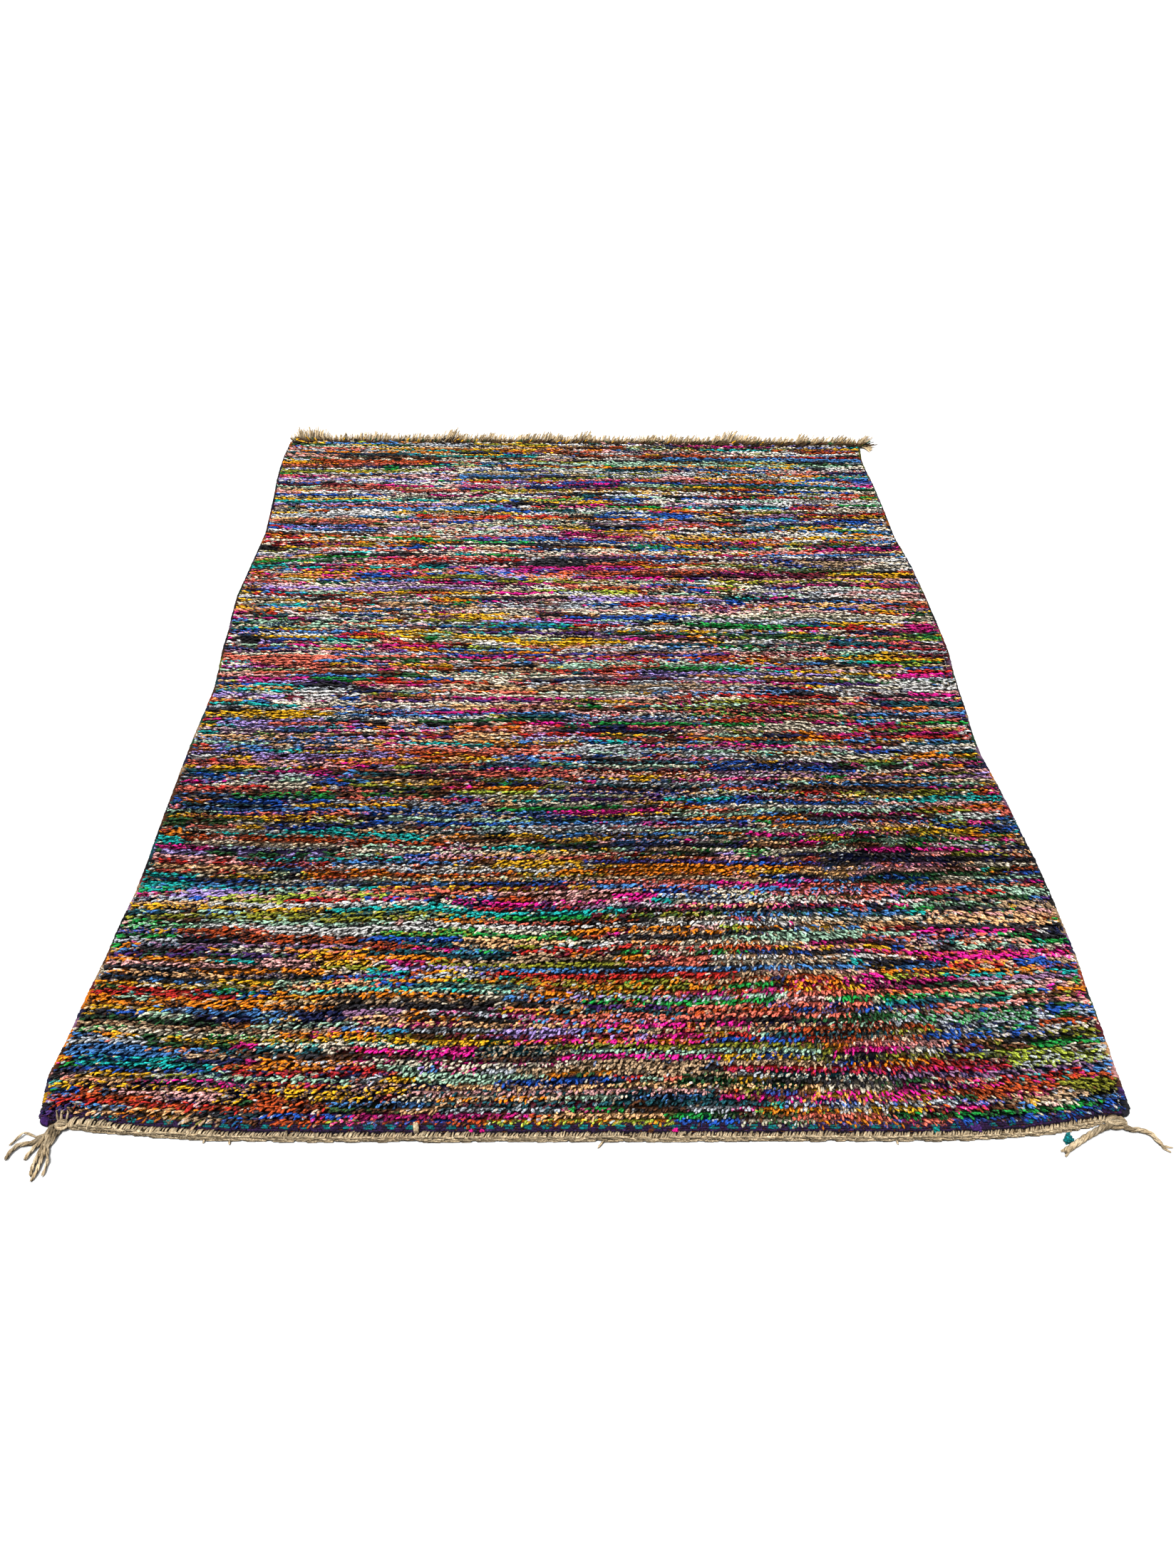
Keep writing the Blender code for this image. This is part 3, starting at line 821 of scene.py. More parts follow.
def row_yarns(random, y, v, xs, before):
    """Two yarns for each knot of a row: what it is, and what it is flecked with.

    before has both of the row before, or is None.
    """
    main, second = np.zeros(len(xs), int), np.zeros(len(xs), int)
    mean, copied = blend(v, RUN_MEAN), blend(v, RUN_FROM_ROW_BEFORE)
    together = 1 + round(KNOTS_TOGETHER * min(1, 2 * v))
    start = xs[0] - random.exponential(mean)
    while start < xs[-1]:
        length = RUN_LEAST + random.exponential(mean - RUN_LEAST)
        here = (xs >= start) & (xs < start + length)
        centre = min(len(xs) - 1, int(np.searchsorted(xs, start + length / 2)))
        start += length
        first, other = random.choice(len(YARNS), 2, p=likely_yarns(xs[centre], y, v))
        if before is not None and random.random() < copied:
            first, other = before[0][centre], before[1][centre]
        dark = first in DARK_YARNS
        second[here] = other if dark or random.random() < RUN_FLECKED else first
        share = random.uniform(*SHARE_OF_OTHER) if dark or random.random() < RUN_OF_TWO else ODD_ONES
        chances = np.repeat(random.random(here.sum() // together + 1), together)[:here.sum()]
        main[here] = np.where(chances < share, other, first)
    return main, second


class Knots:
    """Where every knot of the pile is, and its two yarns, in arrays of rows by knots."""

    def __init__(self, body):
        self.body, self.random = body, np.random.default_rng(SEEDS["pile"])
        self.rows = int((body.back - body.front) / ROW_PITCH)
        self.count = int(body.width / END_PITCH)
        spots = (np.arange(self.count) + 0.5) / self.count
        along = (np.arange(self.rows) + PILE_STARTS) / (self.rows - 1 + PILE_STARTS + PILE_STOPS)
        self.v = np.repeat(along[:, None], self.count, axis=1)
        staggered = self.random.uniform(-0.5, 0.5, (self.rows, 1)) / self.count
        self.u = np.clip(spots + staggered, *ROW_ENDS)
        self.further = np.minimum(1, self.v / SIDEWAYS_FROM)
        self.pick_yarns()
        calm = np.sin(math.pi / 2 * np.minimum(1, np.minimum(self.v, 1 - self.v) / CALM_EDGE))
        moved = sum(share * field(seed, *cells)(self.u, self.v) for seed, *cells, share in ROW_WAVES)
        self.drift = calm * ROW_WAVE * moved
        surfaces = [field(*row)(self.u, self.v) for row in PILE_FIELDS]
        self.fullness, self.height, self.turned, self.parting = surfaces

    def pick_yarns(self):
        """The two yarns of every knot, row by row, with a dark corner in front and a dark last row."""
        self.main, self.second = np.zeros(self.u.shape, int), np.zeros(self.u.shape, int)
        x, y = self.body.place(self.u, self.v)
        before = None
        for row in range(self.rows):
            before = row_yarns(self.random, y[row].mean(), self.v[row, 0], x[row], before)
            self.main[row], self.second[row] = before
        patch = x < self.body.lefts[0] + PATCH_OF_PILE
        patch[PATCH_ROWS:] = False
        self.main[patch], self.second[patch] = YARN_NUMBER["purple"], YARN_NUMBER["navy"]
        shaded = self.random.random(self.count) < LAST_ROW_DARK
        self.main[-1, shaded], self.second[-1, shaded] = YARN_NUMBER["black"], YARN_NUMBER["brown"]

    def scattered(self, aside):
        """Roots of one yarn end for each knot, spread about it."""
        random, shape = self.random, self.u.shape
        u = self.u + (aside + random.normal(0, ROOT_SPREAD, shape)) / self.count
        x, y = self.body.place(u, self.v)
        return x, y + self.drift + random.normal(0, ROOT_STRAYS, shape)

    def lay(self, x, level):
        """The way each end lies: to the front, and more and more outwards towards both sides."""
        random, shape = self.random, self.u.shape
        from_parting = (x - PARTING_AT - PARTING_WANDERS * self.parting) / PARTING_WIDTH
        rightwards = 1 / (1 + np.exp(-PARTING_STEEP * from_parting))
        leftwards = np.clip((-x - LEFT_FROM) / LEFT_REACH, 0, 1)
        lay = LAY_AT_MIDDLE + (LAY_AT_LEFT - LAY_AT_MIDDLE) * leftwards
        lay += (LAY_AT_RIGHT - LAY_AT_MIDDLE) * rightwards
        at_back = np.where(random.random(shape) < rightwards, *LAY_AT_BACK)
        lay += self.further * (at_back - lay)
        spread = blend(self.further, LAY_SPREAD) * random.normal(size=shape)
        turn = np.radians(lay + blend(self.further, LAY_TURNS) * self.turned + spread)
        rise = level + RISE_WANDERS * self.height + random.normal(0, RISE_SPREAD, shape)
        rise = np.radians((blend(self.further, RISE_SHARE) * rise).clip(*RISE_LIMITS))
        return np.stack([np.sin(turn) * np.cos(rise), -np.cos(turn) * np.cos(rise), np.sin(rise)], axis=-1)

    def sizes(self, value, spread):
        return value * (1 + FULLNESS * self.fullness) * varied(self.random, spread, self.u.shape)

    def colours(self, mixing):
        """Base and fleck colours of one end for each knot."""
        random, shape = self.random, self.u.shape
        swapped = random.random(shape) < mixing * blend(self.further, SWAPPED_SHARE)
        main = np.where(swapped, self.second, self.main)
        astray = random.random(shape) < blend(self.v, STRAY_SHARE)
        main = np.where(astray, random.choice([YARN_NUMBER[name] for name in STRAY_YARNS], shape), main)
        # Painted light: ends are dimmer at the front than further back.
        lit = np.interp(self.v, *PAINTED_LIGHT_AT)
        uneven = np.exp(blend(self.further, UNEVENNESS) * random.normal(size=shape)).clip(*UNEVEN_LIMITS)
        base = YARN_COLOURS[main] * (lit * uneven)[..., None]
        base = base * np.minimum(1, np.interp(self.v, *PALEST_AT) / (base @ BRIGHTNESS))[..., None]
        uneven = np.exp(random.normal(0, FLECK_UNEVENNESS, shape)).clip(*FLECK_LIMITS)
        return base, YARN_COLOURS[self.second] * (lit * uneven)[..., None]


def pile(knots, material):
    """Three layers of yarn ends, each narrow at the root and blunt at the tip.

    Near ends with two rings are a piece of their own. The others are in pieces of every other row.
    """
    made = []
    for layer, row in enumerate(PILE_LAYERS):
        aside, length, radius, level, root_height, second_share, two_rings, made_share = row
        x, y = knots.scattered(aside)
        way = knots.lay(x, level)
        # Ends that point at the front edge bunch up; those that lie aside are drawn out.
        bunched = (1 - knots.further) * np.interp(abs(x - BUNCHED_AT), BUNCHED_REACH, (1, 0))
        long = knots.sizes(length, LENGTH_VARIES) * blend(knots.further, LENGTH_SHARE)
        long = (long * (1 - BUNCHED_SHORTER * bunched))[..., None]
        reach = way * long
        root = np.stack([x, y, root_height + blend(knots.further, RAISED)], axis=-1)
        lower = root + LOWER_RING_AT * reach + LOWER_RING_UP * long * (0, 0, 1)
        upper, tip = root + UPPER_RING_AT * reach, root + reach
        widest = root + blend(knots.further, WIDEST_AT)[..., None] * reach
        left, right = knots.body.sides(y)
        for part in (lower, upper, widest, tip):
            part[..., 0] = np.clip(part[..., 0], left - OVERHANG, right + OVERHANG)
        for part in (lower, upper, widest):
            part[..., 2] = np.minimum(part[..., 2], HIGHEST - radius)
        tip[..., 2] = np.minimum(tip[..., 2] - TIP_DROOP, HIGHEST)
        radii = knots.sizes(radius, RADIUS_VARIES) * blend(knots.further, RADIUS_SHARE)
        radii = (radii * (1 + BUNCHED_THICKER * bunched))[..., None]
        colours = knots.colours(second_share)

        near = knots.v < (NEAR_ZONE if two_rings else 0)
        if two_rings:
            centres = np.stack([root, lower, upper, tip], axis=-2)[near]
            grown = blend(knots.v[near] / NEAR_ZONE, NEAR_RINGS_GROW)[:, None]
            looks = [part[near] for part in colours]
            rings = radii[near] * NEAR_RINGS * grown
            made.append(strands(f"pile_{layer}_near", centres, rings, *looks, PLAIN_SIDES, material))
        centres = np.stack([root, widest, tip], axis=-2)
        kept = ~near & ((knots.v < NEAR_ZONE) | (knots.random.random(near.shape) < made_share))
        for k in range(LAYER_PIECES):
            here = kept & (np.arange(knots.rows) % LAYER_PIECES == k)[:, None]
            flat = [part[here] for part in (centres, radii, *colours)]
            made.append(strands(f"pile_{layer}_{k}", *flat, FEW_SIDES, material))
    return made


def ground(body, knots, material):
    """The mat the ends lie on: a closed slab with a ridge for each row of knots, in their colours darkened as
    painted shade.
    """
    random = np.random.default_rng(SEEDS["mat"])
    across = np.linspace(0, 1, MAT_COLUMNS + 1)
    column = np.clip((across * knots.count).astype(int), 0, knots.count - 1)
    half_row = 0.5 * (knots.v[1, 0] - knots.v[0, 0])
    bare, level = np.tile(yarn("brown"), (MAT_COLUMNS + 1, 1)), np.zeros(MAT_COLUMNS + 1)
    lines = [(0.0, MAT_RIM, bare, level), (MAT_RIM_TO, MAT_RIM, bare, level)]
    for row in range(knots.rows):
        v, drift, colours = knots.v[row, 0], knots.drift[row, column], YARN_COLOURS[knots.main[row, column]]
        # Painted shade: the row's yarn, darkened on the ridge and darker still in the valley.
        lines.append((v, MAT_RIDGE, MAT_PAINTED_SHADE * colours, drift))
        lines.append((v + half_row, MAT_VALLEY, VALLEY_PAINTED_SHADE * colours, drift))
    lines[-1] = (1.0, MAT_RIM, lines[-1][2], level)
    along, heights, wools, drifts = (np.array(values) for values in zip(*lines))

    u, v = np.meshgrid(across, along)
    x, y = body.place(u, v)
    rough = (heights > MAT_RIM)[:, None] * random.normal(0, MAT_ROUGH, u.shape)
    top = np.stack([x, y + drifts, heights[:, None] + rough], axis=-1).reshape(-1, 3)
    number = np.arange(len(top)).reshape(u.shape)
    quads = np.stack([number[:-1, :-1], number[:-1, 1:], number[1:, 1:], number[1:, :-1]], axis=-1)
    rim = np.concatenate([number[0, :-1], number[:-1, -1], number[-1, :0:-1], number[:0:-1, 0]])
    foot = len(top) + np.arange(len(rim))
    walls = np.stack([foot, np.roll(foot, -1), np.roll(rim, -1), rim], axis=1)
    faces = quads.reshape(-1, 4).tolist() + walls.tolist() + [foot[::-1].tolist()]
    data = bpy.data.meshes.new("ground")
    data.from_pydata(np.concatenate([top, top[rim] * (1, 1, 0)]).tolist(), [], faces)
    wool = wools.reshape(-1, 3)
    return piece_of(data, material, Wool=np.concatenate([wool, wool[rim]]))


# The bindings, the fringe and the tassels.

class Route:
    """The middle line and half width of a binding in plan, measured along one axis of the frame."""

    def __init__(self, node, axis, pitch):
        self.low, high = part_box(node)
        self.axis, self.top = axis, high.z
        start, stop = self.low[axis], high[axis]
        self.stations = np.linspace(start + ROUTE_MARGIN, stop - ROUTE_MARGIN, ROUTE_STATIONS)
        near, far = spans(node, axis, self.stations)
        self.middles, self.halves = (near + far) / 2, (far - near) / 2
        self.count = int((stop - start) / pitch)
        self.along = start + (np.arange(self.count) + 0.5) * (stop - start) / self.count

    def at(self, stations):
        """The middle and the half width at these stations."""
        middle = np.interp(stations, self.stations, self.middles)
        return middle, np.interp(stations, self.stations, self.halves)


def ecru(random, count, spread):
    """Base and fleck colours for this many strands of natural wool."""
    shade = shades(random, spread, count, limits=ECRU_TONES)
    warm = WARMER_BY * (random.random(count) < WARM_STRANDS)[:, None]
    base = linear(ECRU) * (1 - warm) + linear(ECRU_SHADE) * warm
    return base * shade, linear(ECRU_SHADE) * shade


def core(name, route, material, colour, shrink):
    """The cord inside a binding: one closed tube, this much thinner than the binding's CAD solid."""
    along = np.linspace(route.along[0], route.along[-1], CORE_STATIONS)
    middle, half = route.at(along)
    plan = [along, middle] if route.axis == 0 else [middle, along]
    centres = np.stack([*plan, np.full(CORE_STATIONS, CORE_HEIGHT * route.top)], axis=1)[None]
    radii = (shrink * np.minimum(half, route.top / 2))[None, 1:-1]
    return strands(name, centres, radii, colour, colour, CORE_SIDES, material, aside=(0, 0, 1))


def overcast(name, node, side, front_colours, material):
    """Yarn wrapped over a selvedge, in segments of one colour each, with a fan round the front corner."""
    random = np.random.default_rng(SEEDS["overcast"] + side)
    route = Route(node, 1, WRAP_PITCH)
    y = route.along + random.normal(0, WRAP_STRAYS, route.count)
    middle, half = route.at(y)
    coming, segments, edge = iter(front_colours), [], 0.0
    for at in y:
        if at - route.low.y > edge:
            edge += random.uniform(*WRAP_SEGMENT)
            current = next(coming, None) or BINDING_YARNS[random.integers(len(BINDING_YARNS))]
        segments.append(YARN_NUMBER[current])
    wool, other = YARN_COLOURS[segments], YARN_COLOURS[np.roll(segments, WRAPS_BEFORE)]
    sweep, rise, slant = np.array(WRAP_SHAPE).T
    full = varied(random, WRAP_VARIES[0], route.count)
    x = middle[:, None] + side * (half * full - 0.5 * WRAP_RADIUS)[:, None] * sweep
    z = (WRAP_TOP * route.top * full - WRAP_RADIUS)[:, None] * rise + WRAP_RAISED
    centres = np.stack([x, y[:, None] + slant, z], axis=-1)
    shade = np.interp(y, *BINDING_TONE)[:, None] * shades(random, WRAP_TONES, route.count)

    # The fan: the same wraps, turned step by step round the front corner.
    turns = np.linspace(0, math.pi / 2, FAN_WRAPS)
    hub = np.array([middle[0] - side * half[0], route.low.y + FAN_HUB * half[0]])
    outward = np.stack([side * np.cos(turns), -np.sin(turns)], axis=1)[:, None]
    reach = (2 * half[0] - WRAP_RADIUS) * (sweep + 1) / 2
    heights = np.tile(z[0][:, None], (FAN_WRAPS, 1, 1))
    fan = np.concatenate([hub + outward * reach[:, None], heights], axis=-1)
    fan_wool = np.tile(wool[0], (FAN_WRAPS, 1))
    centres = np.concatenate([centres[FAN_REPLACES:], fan])
    colours = np.concatenate([(wool * shade)[FAN_REPLACES:], fan_wool])
    mottled = (WRAP_FLECK[0] * wool + WRAP_FLECK[1] * other) * shade
    flecks = np.concatenate([mottled[FAN_REPLACES:], FAN_FLECK * fan_wool])
    radii = WRAP_RADIUS * varied(random, WRAP_VARIES[1], (len(centres), 1)) * np.ones(4)
    wraps = strands(name, centres, radii, colours, flecks, PLAIN_SIDES, material)
    return wraps, core(name + "_core", route, material, linear(SELVEDGE_INSIDE), SELVEDGE_CORE)


def puff(centre, size, colour, random):
    """A bit of loose wool: short strands every way out of one place, shaped as the heading's stitches."""
    ways = unit(random.normal(size=(PUFF_STRANDS, 3)) * PUFF_SPREAD + PUFF_WAY)
    reach = ways * size * random.uniform(*PUFF_REACH, (PUFF_STRANDS, 1))
    centres = np.array(centre) + reach[:, None] * np.array(PUFF_AT)[:, None]
    radii = np.full((PUFF_STRANDS, 2), PUFF_RADIUS * size + PUFF_THINNEST)
    shade = shades(random, PUFF_TONES, PUFF_STRANDS)
    return centres, radii, colour * shade, PUFF_FLECK * colour * shade


def heading(body, material):
    """The flat weave in front of the pile: purple floats with teal dashes, darkened as painted shade in the
    first row and browner in the last.
    """
    random = np.random.default_rng(SEEDS["heading"])
    left, right = body.lefts[0] + HEADING_MARGIN, body.rights[0] - HEADING_MARGIN
    count = int((right - left) / HEADING_STITCH)
    purple, teal = linear(HEADING_PURPLE), linear(HEADING_TEAL)
    offsets, lift = np.array(STITCH_SHAPE)
    gathered = []
    for row in range(HEADING_ROWS):
        share, shift = row / (HEADING_ROWS - 1), (row % 2) * HEADING_STITCH / 2
        x = np.linspace(left, right, count) + shift + random.normal(0, HEADING_STRAYS[0], count)
        y = np.interp(x, body.xs, body.fronts) + blend(share, HEADING_SPAN)
        y += random.normal(0, HEADING_STRAYS[1], count)
        z = blend(share, HEADING_HEIGHT) + random.normal(0, HEADING_STRAYS[2], count)
        beyond_patch = x > left + PATCH_WIDTH
        wandering = x / HEADING_DASH_PITCH + DASHES_WANDER[0] * np.sin(DASHES_WANDER[1] * x)
        dash = (wandering % 1 < HEADING_DASH / HEADING_DASH_PITCH) & beyond_patch & (row in HEADING_DASH_ROWS)
        # The first row, beside the roll, is darkened as painted shade.
        colour = np.where(dash[:, None], teal, purple * (HEADING_FIRST_SHADE if row == 0 else 1))
        if row == HEADING_ROWS - 1:
            browner = (random.random(count) < HEADING_BROWNER) & beyond_patch
            colour = np.where(browner[:, None], HEADING_BROWN * yarn("brown"), purple)
        across = x[:, None] + HEADING_REACH * varied(random, STITCH_VARIES, (count, 1)) * offsets
        centres = np.stack([across, np.repeat(y[:, None], len(lift), axis=1), z[:, None] + lift], axis=-1)
        shade = shades(random, HEADING_TONES, count, HEADING_TONE)
        radii = HEADING_RADIUS * varied(random, STITCH_VARIES, (count, 1)) * np.ones(2)
        gathered.append((centres, radii, colour * shade, HEADING_FLECK * colour))
    for across, wool, size in PUFFS:
        place = (across, np.interp(across, body.xs, body.fronts) + PUFF_BEHIND, PUFF_HEIGHT)
        gathered.append(puff(place, size, yarn(wool), random))
    low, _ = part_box("tassel_right")
    for x, y, z, size in TEAL_TUFTS:
        gathered.append(puff((low.x + x, low.y + y, z), size, teal, random))
    return strands("front_heading", *joined(gathered), PLAIN_SIDES, material)


def front_roll(material):
    """The closed warp ends: small loops over the top of a cord, and a lumpy twist along its front."""
    random = np.random.default_rng(SEEDS["roll"])
    route = Route("front_roll", 0, LOOP_PITCH)

    def swelling(x):
        """How much thicker the roll is here: most at its left end, with lumps all the way along."""
        lumps = sum(size * np.sin(pace * x + 2 * np.sin(wander * x)) for size, pace, wander in LUMPS)
        more, reach = SWOLLEN_LEFT
        return 1 + more * np.exp(-((x - route.low.x) / reach) ** 2) + lumps

    place_spread, *spreads, slant_spread = LOOP_SPREAD
    x = route.along + random.normal(0, place_spread, route.count)
    middle, half = route.at(x)
    swell, thickness = (swelling(x) * varied(random, spread, route.count) for spread in spreads)
    radius = LOOP_RADIUS * thickness
    back, rise, slant = np.array(LOOP_SHAPE).T
    slant = slant * varied(random, slant_spread, (route.count, 1))
    wide, tall = (half * swell)[:, None], ((route.top - radius) * swell)[:, None]
    centres = [np.stack([x[:, None] + slant, middle[:, None] + wide * back, tall * rise], axis=-1)]
    radii = [radius[:, None] * np.array(LOOP_RINGS)]
    # The twist: strands that lie over the lower front of the loops, each its own way.
    count = int(route.count * BAND_STRANDS)
    x = np.linspace(x[0] + BAND_INSET, x[-1] - BAND_INSET, count) + random.normal(0, BAND_STRAYS, count)
    middle, half = route.at(x)
    steps = np.linspace(0, 1, len(BAND_RUN))
    height = random.uniform(*BAND_HEIGHTS, (count, 1))
    height = height + random.normal(*BAND_TILT, (count, 1)) * (2 * steps - 1)
    inwards = np.sqrt(np.clip(BAND_CROWN - height, BAND_LEAST, 1))
    out = BAND_OUT * (half * swelling(x))[:, None] * inwards
    tall = route.top * swelling(x)[:, None] * height
    centres.append(np.stack([x[:, None] + np.array(BAND_RUN), middle[:, None] - out, tall], axis=-1))
    radii.append(BAND_RADIUS * varied(random, BAND_VARIES, (count, 1)) * np.ones(4))
    # Ends that hang out in front, and one that stands up and lies back over the heading.
    for across, out, aside in NUBS:
        at, reach = route.at(across)
        y = at - blend(steps, (NUB_FROM * reach, reach + out))
        centres.append(np.stack([across + aside * steps, y, blend(steps, NUB_HEIGHTS)], axis=-1)[None])
        radii.append(np.full((1, 4), NUB_RADIUS))
    at, _ = route.at(UPRIGHT_END)
    (aside, back), (high, turn) = UPRIGHT_RUN, UPRIGHT_ARCH
    for ply in UPRIGHT_PLIES:
        height = UPRIGHT_HEIGHT + high * np.sin(turn * steps)
        x = UPRIGHT_END + ply + aside * steps
        centres.append(np.stack([x, at + back * steps, height], axis=-1)[None])
        radii.append(np.array([UPRIGHT_RINGS]))
    centres, radii = np.concatenate(centres), np.concatenate(radii)
    looks = ecru(random, len(centres), ROLL_TONES)
    loops = strands("front_roll_loops", centres, radii, *looks, PLAIN_SIDES, material)
    # The cord is dark ecru: painted shade seen between the loops.
    return loops, core("front_roll_core", route, material, linear(ECRU_SHADE) * ROLL_CORE_SHADE, ROLL_CORE)


def fringe(material):
    """Cut warp ends along the back, as long as the CAD's teeth, over a foot of short brown ends."""
    random = np.random.default_rng(SEEDS["fringe"])
    low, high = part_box("back_fringe")
    left, right = low.x + FRINGE_INSET[0], high.x - FRINGE_INSET[1]
    stations = np.linspace(left, right, TOOTH_STATIONS)
    _, teeth = spans("back_fringe", 0, stations)
    count = int((right - left) / FRINGE_PITCH)
    x = np.linspace(left, right, count) + random.normal(0, FRINGE_STRAYS, count)
    tips = np.array([teeth[abs(stations - at) < TOOTH_REACH].max() for at in x])
    length = (tips - low.y) * random.uniform(*FRINGE_LENGTHS, count)
    # The ends gather in locks, and lean more and more to the right.
    lock = (np.floor(x / FRINGE_LOCK) + 0.5) * FRINGE_LOCK
    lean = (np.interp(x, *FRINGE_LEAN) + random.normal(0, LEAN_SPREAD, count)) * length
    lean = (lean + LOCK_PULL * (lock - x))[:, None]
    share = np.array(FRINGE_AT)
    bend = random.normal(0, FRINGE_BEND, (count, 1)) * np.sin(FRINGE_TURN * share)
    y = low.y + length[:, None] * share
    lifted = (random.uniform(0.0, FRINGE_LIFT, (count, 1)) - FRINGE_SINKS) * share
    z = FRINGE_FOOT + lifted + random.normal(0, FRINGE_ROUGH, (count, len(share)))
    x = x[:, None] + lean * share ** LEAN_CURVE + bend
    centres = np.stack([x, y, z.clip(*FRINGE_HEIGHTS)], axis=-1)
    radii = FRINGE_RADIUS * varied(random, FRINGE_VARIES, (count, 1)) * np.array(FRINGE_RINGS)
    shade = shades(random, FRINGE_TONE_SPREAD, count, FRINGE_TONE, FRINGE_TONES)
    tan, brown = linear(FRINGE_TAN), linear(FRINGE_BROWN)
    ends = (centres, radii, tan * shade, 0.5 * (tan + brown) * shade)
    # A second layer of short ends fills the foot of the fringe.
    short, stubs = centres[::2].copy(), len(centres[::2])
    short[:, :, 0] += random.normal(*STUB_SHIFT, (stubs, 1))
    short[:, :, 1] = low.y + (short[:, :, 1] - low.y) * random.uniform(*STUB_LENGTHS, (stubs, 1))
    short[:, :, 2] = (short[:, :, 2] + STUB_RAISED * (1 + share)).clip(*STUB_HEIGHTS)
    tints = YARN_COLOURS[random.choice([YARN_NUMBER[name] for name in STUB_YARNS], stubs)]
    odd = (random.random(stubs) < STUB_ODD)[:, None]
    darker = np.where(odd, tints, brown * shade[::2])
    foot = (short, STUB_THICKER * radii[::2], darker, STUB_FLECK * darker)
    # A bundle of ends comes out of the right corner, to the side.
    fanned = np.linspace(*BUNDLE_FAN, BUNDLE_COUNT)[:, None]
    fanned = (fanned + random.normal(0, BUNDLE_STRAYS[0], (BUNDLE_COUNT, 1))) * share
    out = random.uniform(*BUNDLE_LENGTHS, (BUNDLE_COUNT, 1)) * BUNDLE_REACH * share
    sunk = random.normal(0, BUNDLE_STRAYS[1], (BUNDLE_COUNT, len(share))) - BUNDLE_SINKS * share
    root = np.array((high.x, low.y, 0)) + BUNDLE_ROOT
    path = root + np.stack([out * np.cos(fanned), out * np.sin(fanned), sunk], axis=-1)
    sandy = tan * random.uniform(*BUNDLE_TONES, (BUNDLE_COUNT, 1))
    bundle = (path, np.full((BUNDLE_COUNT, 3), FRINGE_RADIUS), sandy, BUNDLE_FLECK * sandy)
    return strands("back_fringe_ends", *joined([ends, foot, bundle]), FEW_SIDES, material)


def corner_tufts(material):
    """Loose pile wool among the ends at both back corners."""
    random = np.random.default_rng(SEEDS["tufts"])
    low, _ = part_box("back_fringe")
    gathered = []
    for across, wool, size in BACK_TUFTS:
        gathered.append(puff((across, low.y + TUFTS_BEHIND, PUFF_HEIGHT), size, yarn(wool), random))
    return strands("back_corner_tufts", *joined(gathered), PLAIN_SIDES, material)


def plied(path, sizes, plies, random):
    """The plies of a yarn twisted round a path: their points and radii, in the shape strands takes."""
    walked = np.concatenate([[0], np.cumsum(np.linalg.norm(np.diff(path, axis=0), axis=1))])
    along = np.linspace(0, walked[-1], YARN_POINTS)
    middle = np.stack([np.interp(along, walked, path[:, k]) for k in range(3)], axis=1)
    ways = unit(np.gradient(middle, axis=0))
    side = unit(np.cross(ways, (0, 0, 1)))
    top = np.cross(side, ways)
    start = random.uniform(0, 2 * math.pi)
    centres = []
    for ply in range(plies):
        angle = (start + 2 * math.pi * (ply / plies + along / YARN_TWIST))[:, None]
        centres.append(middle + (side * np.cos(angle) + top * np.sin(angle)) * PLY_OUT * sizes[:, None])
    return np.array(centres), np.tile(PLY_RADIUS * sizes[1:-1], (plies, 1))


def knot(centre, size, random):
    """Loops of yarn wound round a knot, each tilted its own way: points, radii, and the way across each."""
    centres, asides = [], []
    for k in range(KNOT_LOOPS):
        angle = np.linspace(0, KNOT_TURN, YARN_POINTS) + random.uniform(0, 2 * math.pi)
        tilt = math.pi * k / KNOT_LOOPS + random.uniform(-KNOT_TILT, KNOT_TILT)
        up, level = math.sin(tilt), math.cos(tilt)
        loop = np.stack([np.cos(angle), np.sin(angle) * level, np.sin(angle) * up], axis=1)
        moved = random.normal(0, KNOT_STRAYS, 3)
        centres.append(centre + moved + loop * (size / 2 - KNOT_RADIUS) * random.uniform(*KNOT_LOOP_SIZES))
        asides.append((0, -up, level))
    return np.array(centres), np.full((KNOT_LOOPS, YARN_POINTS - 2), KNOT_RADIUS), np.array(asides)


def tassel(name, node, knot_at, knot_size, yarns, material):
    """A knot and its yarns, all given in millimetres from the low corner of the node's box."""
    random = np.random.default_rng(SEEDS[node])
    low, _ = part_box(node)
    start = np.array((low.x, low.y, 0))
    parts = [knot(start + np.array(knot_at) / PER_METRE, np.array(knot_size) / PER_METRE, random)]
    tones = [1.0] * KNOT_LOOPS
    for radius, tip_radius, plies, tone, route in yarns:
        sizes = np.linspace(radius, tip_radius, YARN_POINTS) / PER_METRE
        twisted = plied(start + np.array(route) / PER_METRE, sizes, plies, random)
        parts.append((*twisted, np.tile((0.0, 0.0, 1.0), (plies, 1))))
        tones += [tone] * plies
    centres, radii, asides = joined(parts)
    colours, flecks = (part * np.array(tones)[:, None] for part in ecru(random, len(centres), TASSEL_TONES))
    return strands(name, centres, radii, colours, flecks, TASSEL_SIDES, material, aside=asides)


# The stage.

def camera():
    pitch, yaw, roll = (math.radians(a) for a in (CAMERA_PITCH, CAMERA_YAW, CAMERA_ROLL))
    forward = Vector((math.sin(yaw) * math.cos(pitch), math.cos(yaw) * math.cos(pitch), -math.sin(pitch)))
    level = Vector((math.cos(yaw), -math.sin(yaw), 0))
    upward = level.cross(forward)
    right = math.cos(roll) * level + math.sin(roll) * upward
    up = -math.sin(roll) * level + math.cos(roll) * upward
    data = bpy.data.cameras.new("camera")
    data.lens = CAMERA_LENS
    data.sensor_width = CAMERA_SENSOR
    obj = linked("camera", data)
    turned = Matrix((right, up, -forward)).transposed().to_4x4()
    obj.matrix_world = Matrix.Translation(CAMERA_PLACE) @ turned
    bpy.context.scene.camera = obj


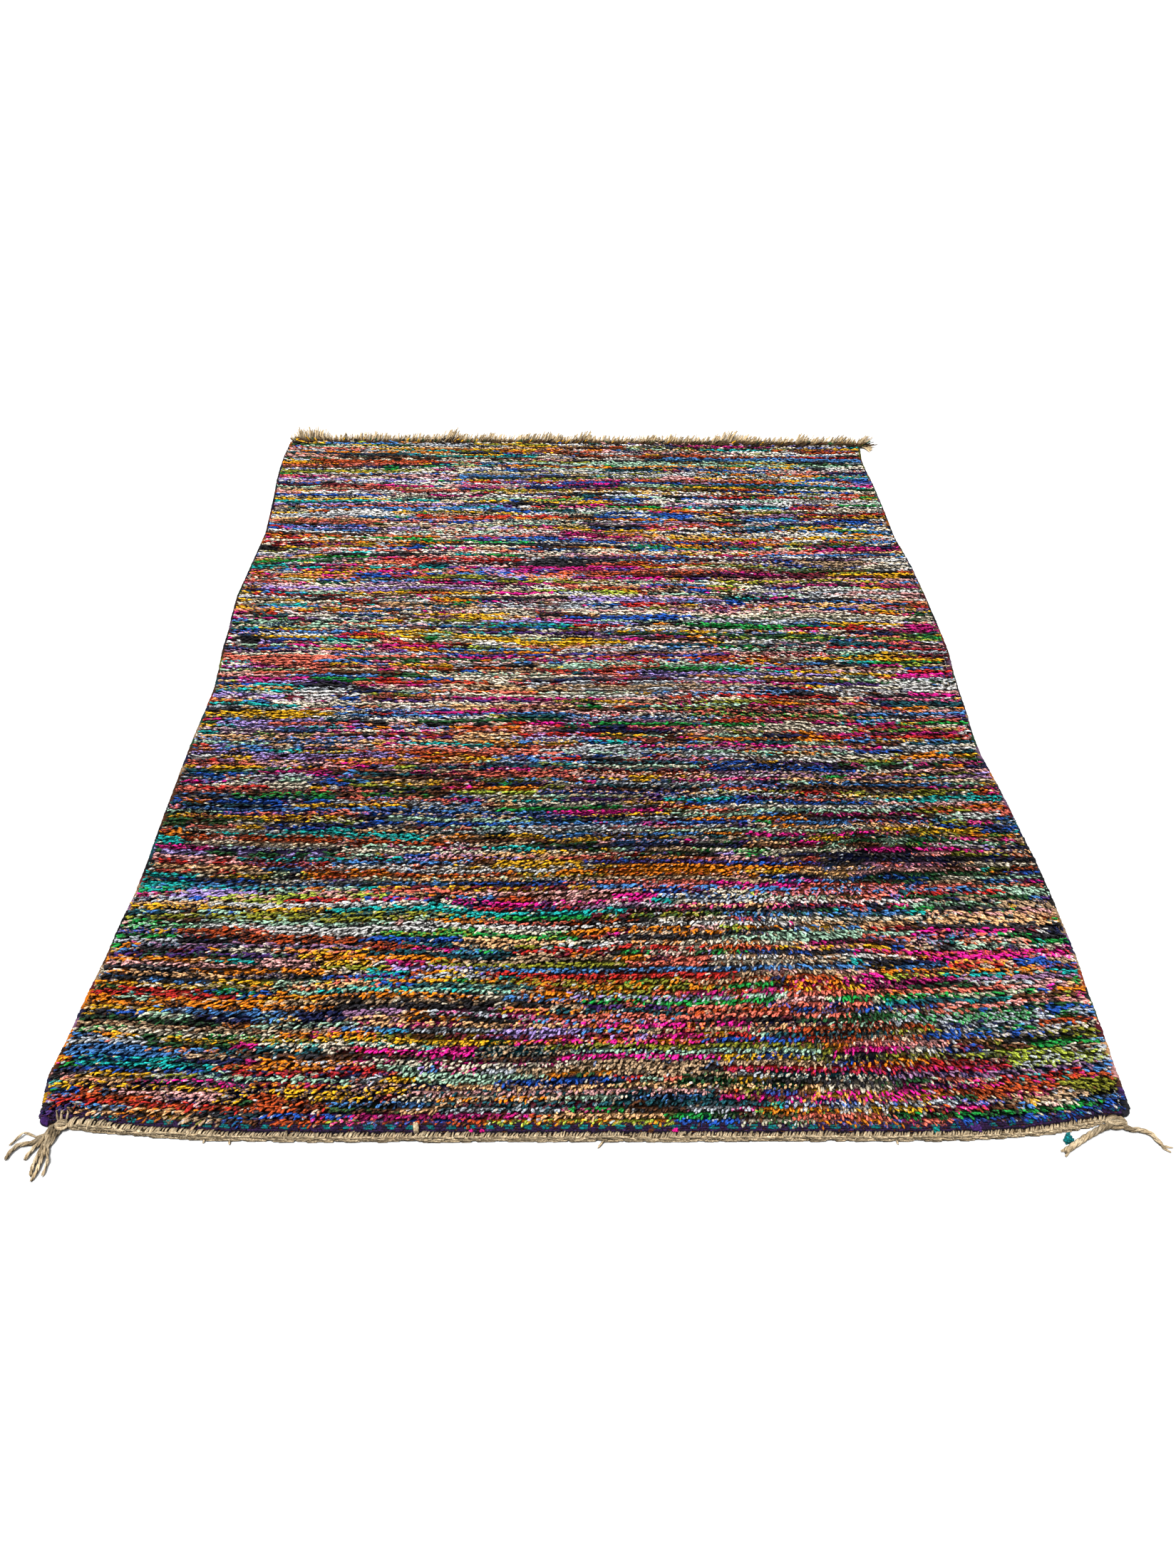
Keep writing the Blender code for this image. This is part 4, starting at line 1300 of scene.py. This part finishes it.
def stage():
    world = bpy.data.worlds.new("studio")
    world.use_nodes = True
    world.node_tree.nodes["Background"].inputs["Color"].default_value = (1, 1, 1, 1)
    world.node_tree.nodes["Background"].inputs["Strength"].default_value = SKY_STRENGTH
    bpy.context.scene.world = world
    sun = bpy.data.lights.new("key", "SUN")
    sun.energy = SUN_STRENGTH
    sun.angle = math.radians(SUN_SPREAD)
    linked("key", sun).rotation_euler = Vector(SUN_WAY).to_track_quat("-Z", "Y").to_euler()
    data = bpy.data.meshes.new("floor")
    corners = [(FLOOR_REACH * x, FLOOR_REACH * y, 0) for x, y in ((-1, -1), (1, -1), (1, 1), (-1, 1))]
    data.from_pydata(corners, [], [(0, 1, 2, 3)])
    floor = linked("floor", data)
    data.materials.append(Shader("floor_paint").finished(FLOOR_SURFACE))
    bpy.context.scene.view_settings.view_transform = "Standard"


def main():
    body = Body()
    camera()
    stage()
    knots = Knots(body)
    base = ground(body, knots, ground_material())
    wools = {name: wool_material(name) for name in WOOLS}
    natural, binding = wools["natural_wool"], wools["selvedge_wool"]
    tufts = pile(knots, wools["pile_wool"])
    weave = heading(body, wools["heading_wool"])
    wraps_left, core_left = overcast("overcast_left", "selvedge_left", -1, LEFT_BINDING, binding)
    wraps_right, core_right = overcast("overcast_right", "selvedge_right", 1, RIGHT_BINDING, binding)
    loops, cord = front_roll(natural)
    ends = fringe(wools["fringe_wool"])
    tufts.append(corner_tufts(wools["pile_wool"]))
    left = tassel("tassel_left_yarn", "tassel_left", LEFT_KNOT, LEFT_KNOT_SIZE, LEFT_YARNS, natural)
    right = tassel("tassel_right_yarn", "tassel_right", RIGHT_KNOT, RIGHT_KNOT_SIZE, RIGHT_YARNS, natural)
    slots = {"pile": [base, weave, *tufts], "selvedge": [wraps_left, core_left, wraps_right, core_right],
             "ecru_yarn": [loops, cord, ends, left, right]}
    for slot, pieces in slots.items():
        for piece in pieces:
            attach(piece, "root")
    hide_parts("rug_body")
    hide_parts("selvedge_left")
    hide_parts("selvedge_right")
    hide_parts("front_roll")
    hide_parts("back_fringe")
    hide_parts("tassel_left")
    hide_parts("tassel_right")
    others = [piece for pieces in slots.values() for piece in pieces if piece is not base]


main()
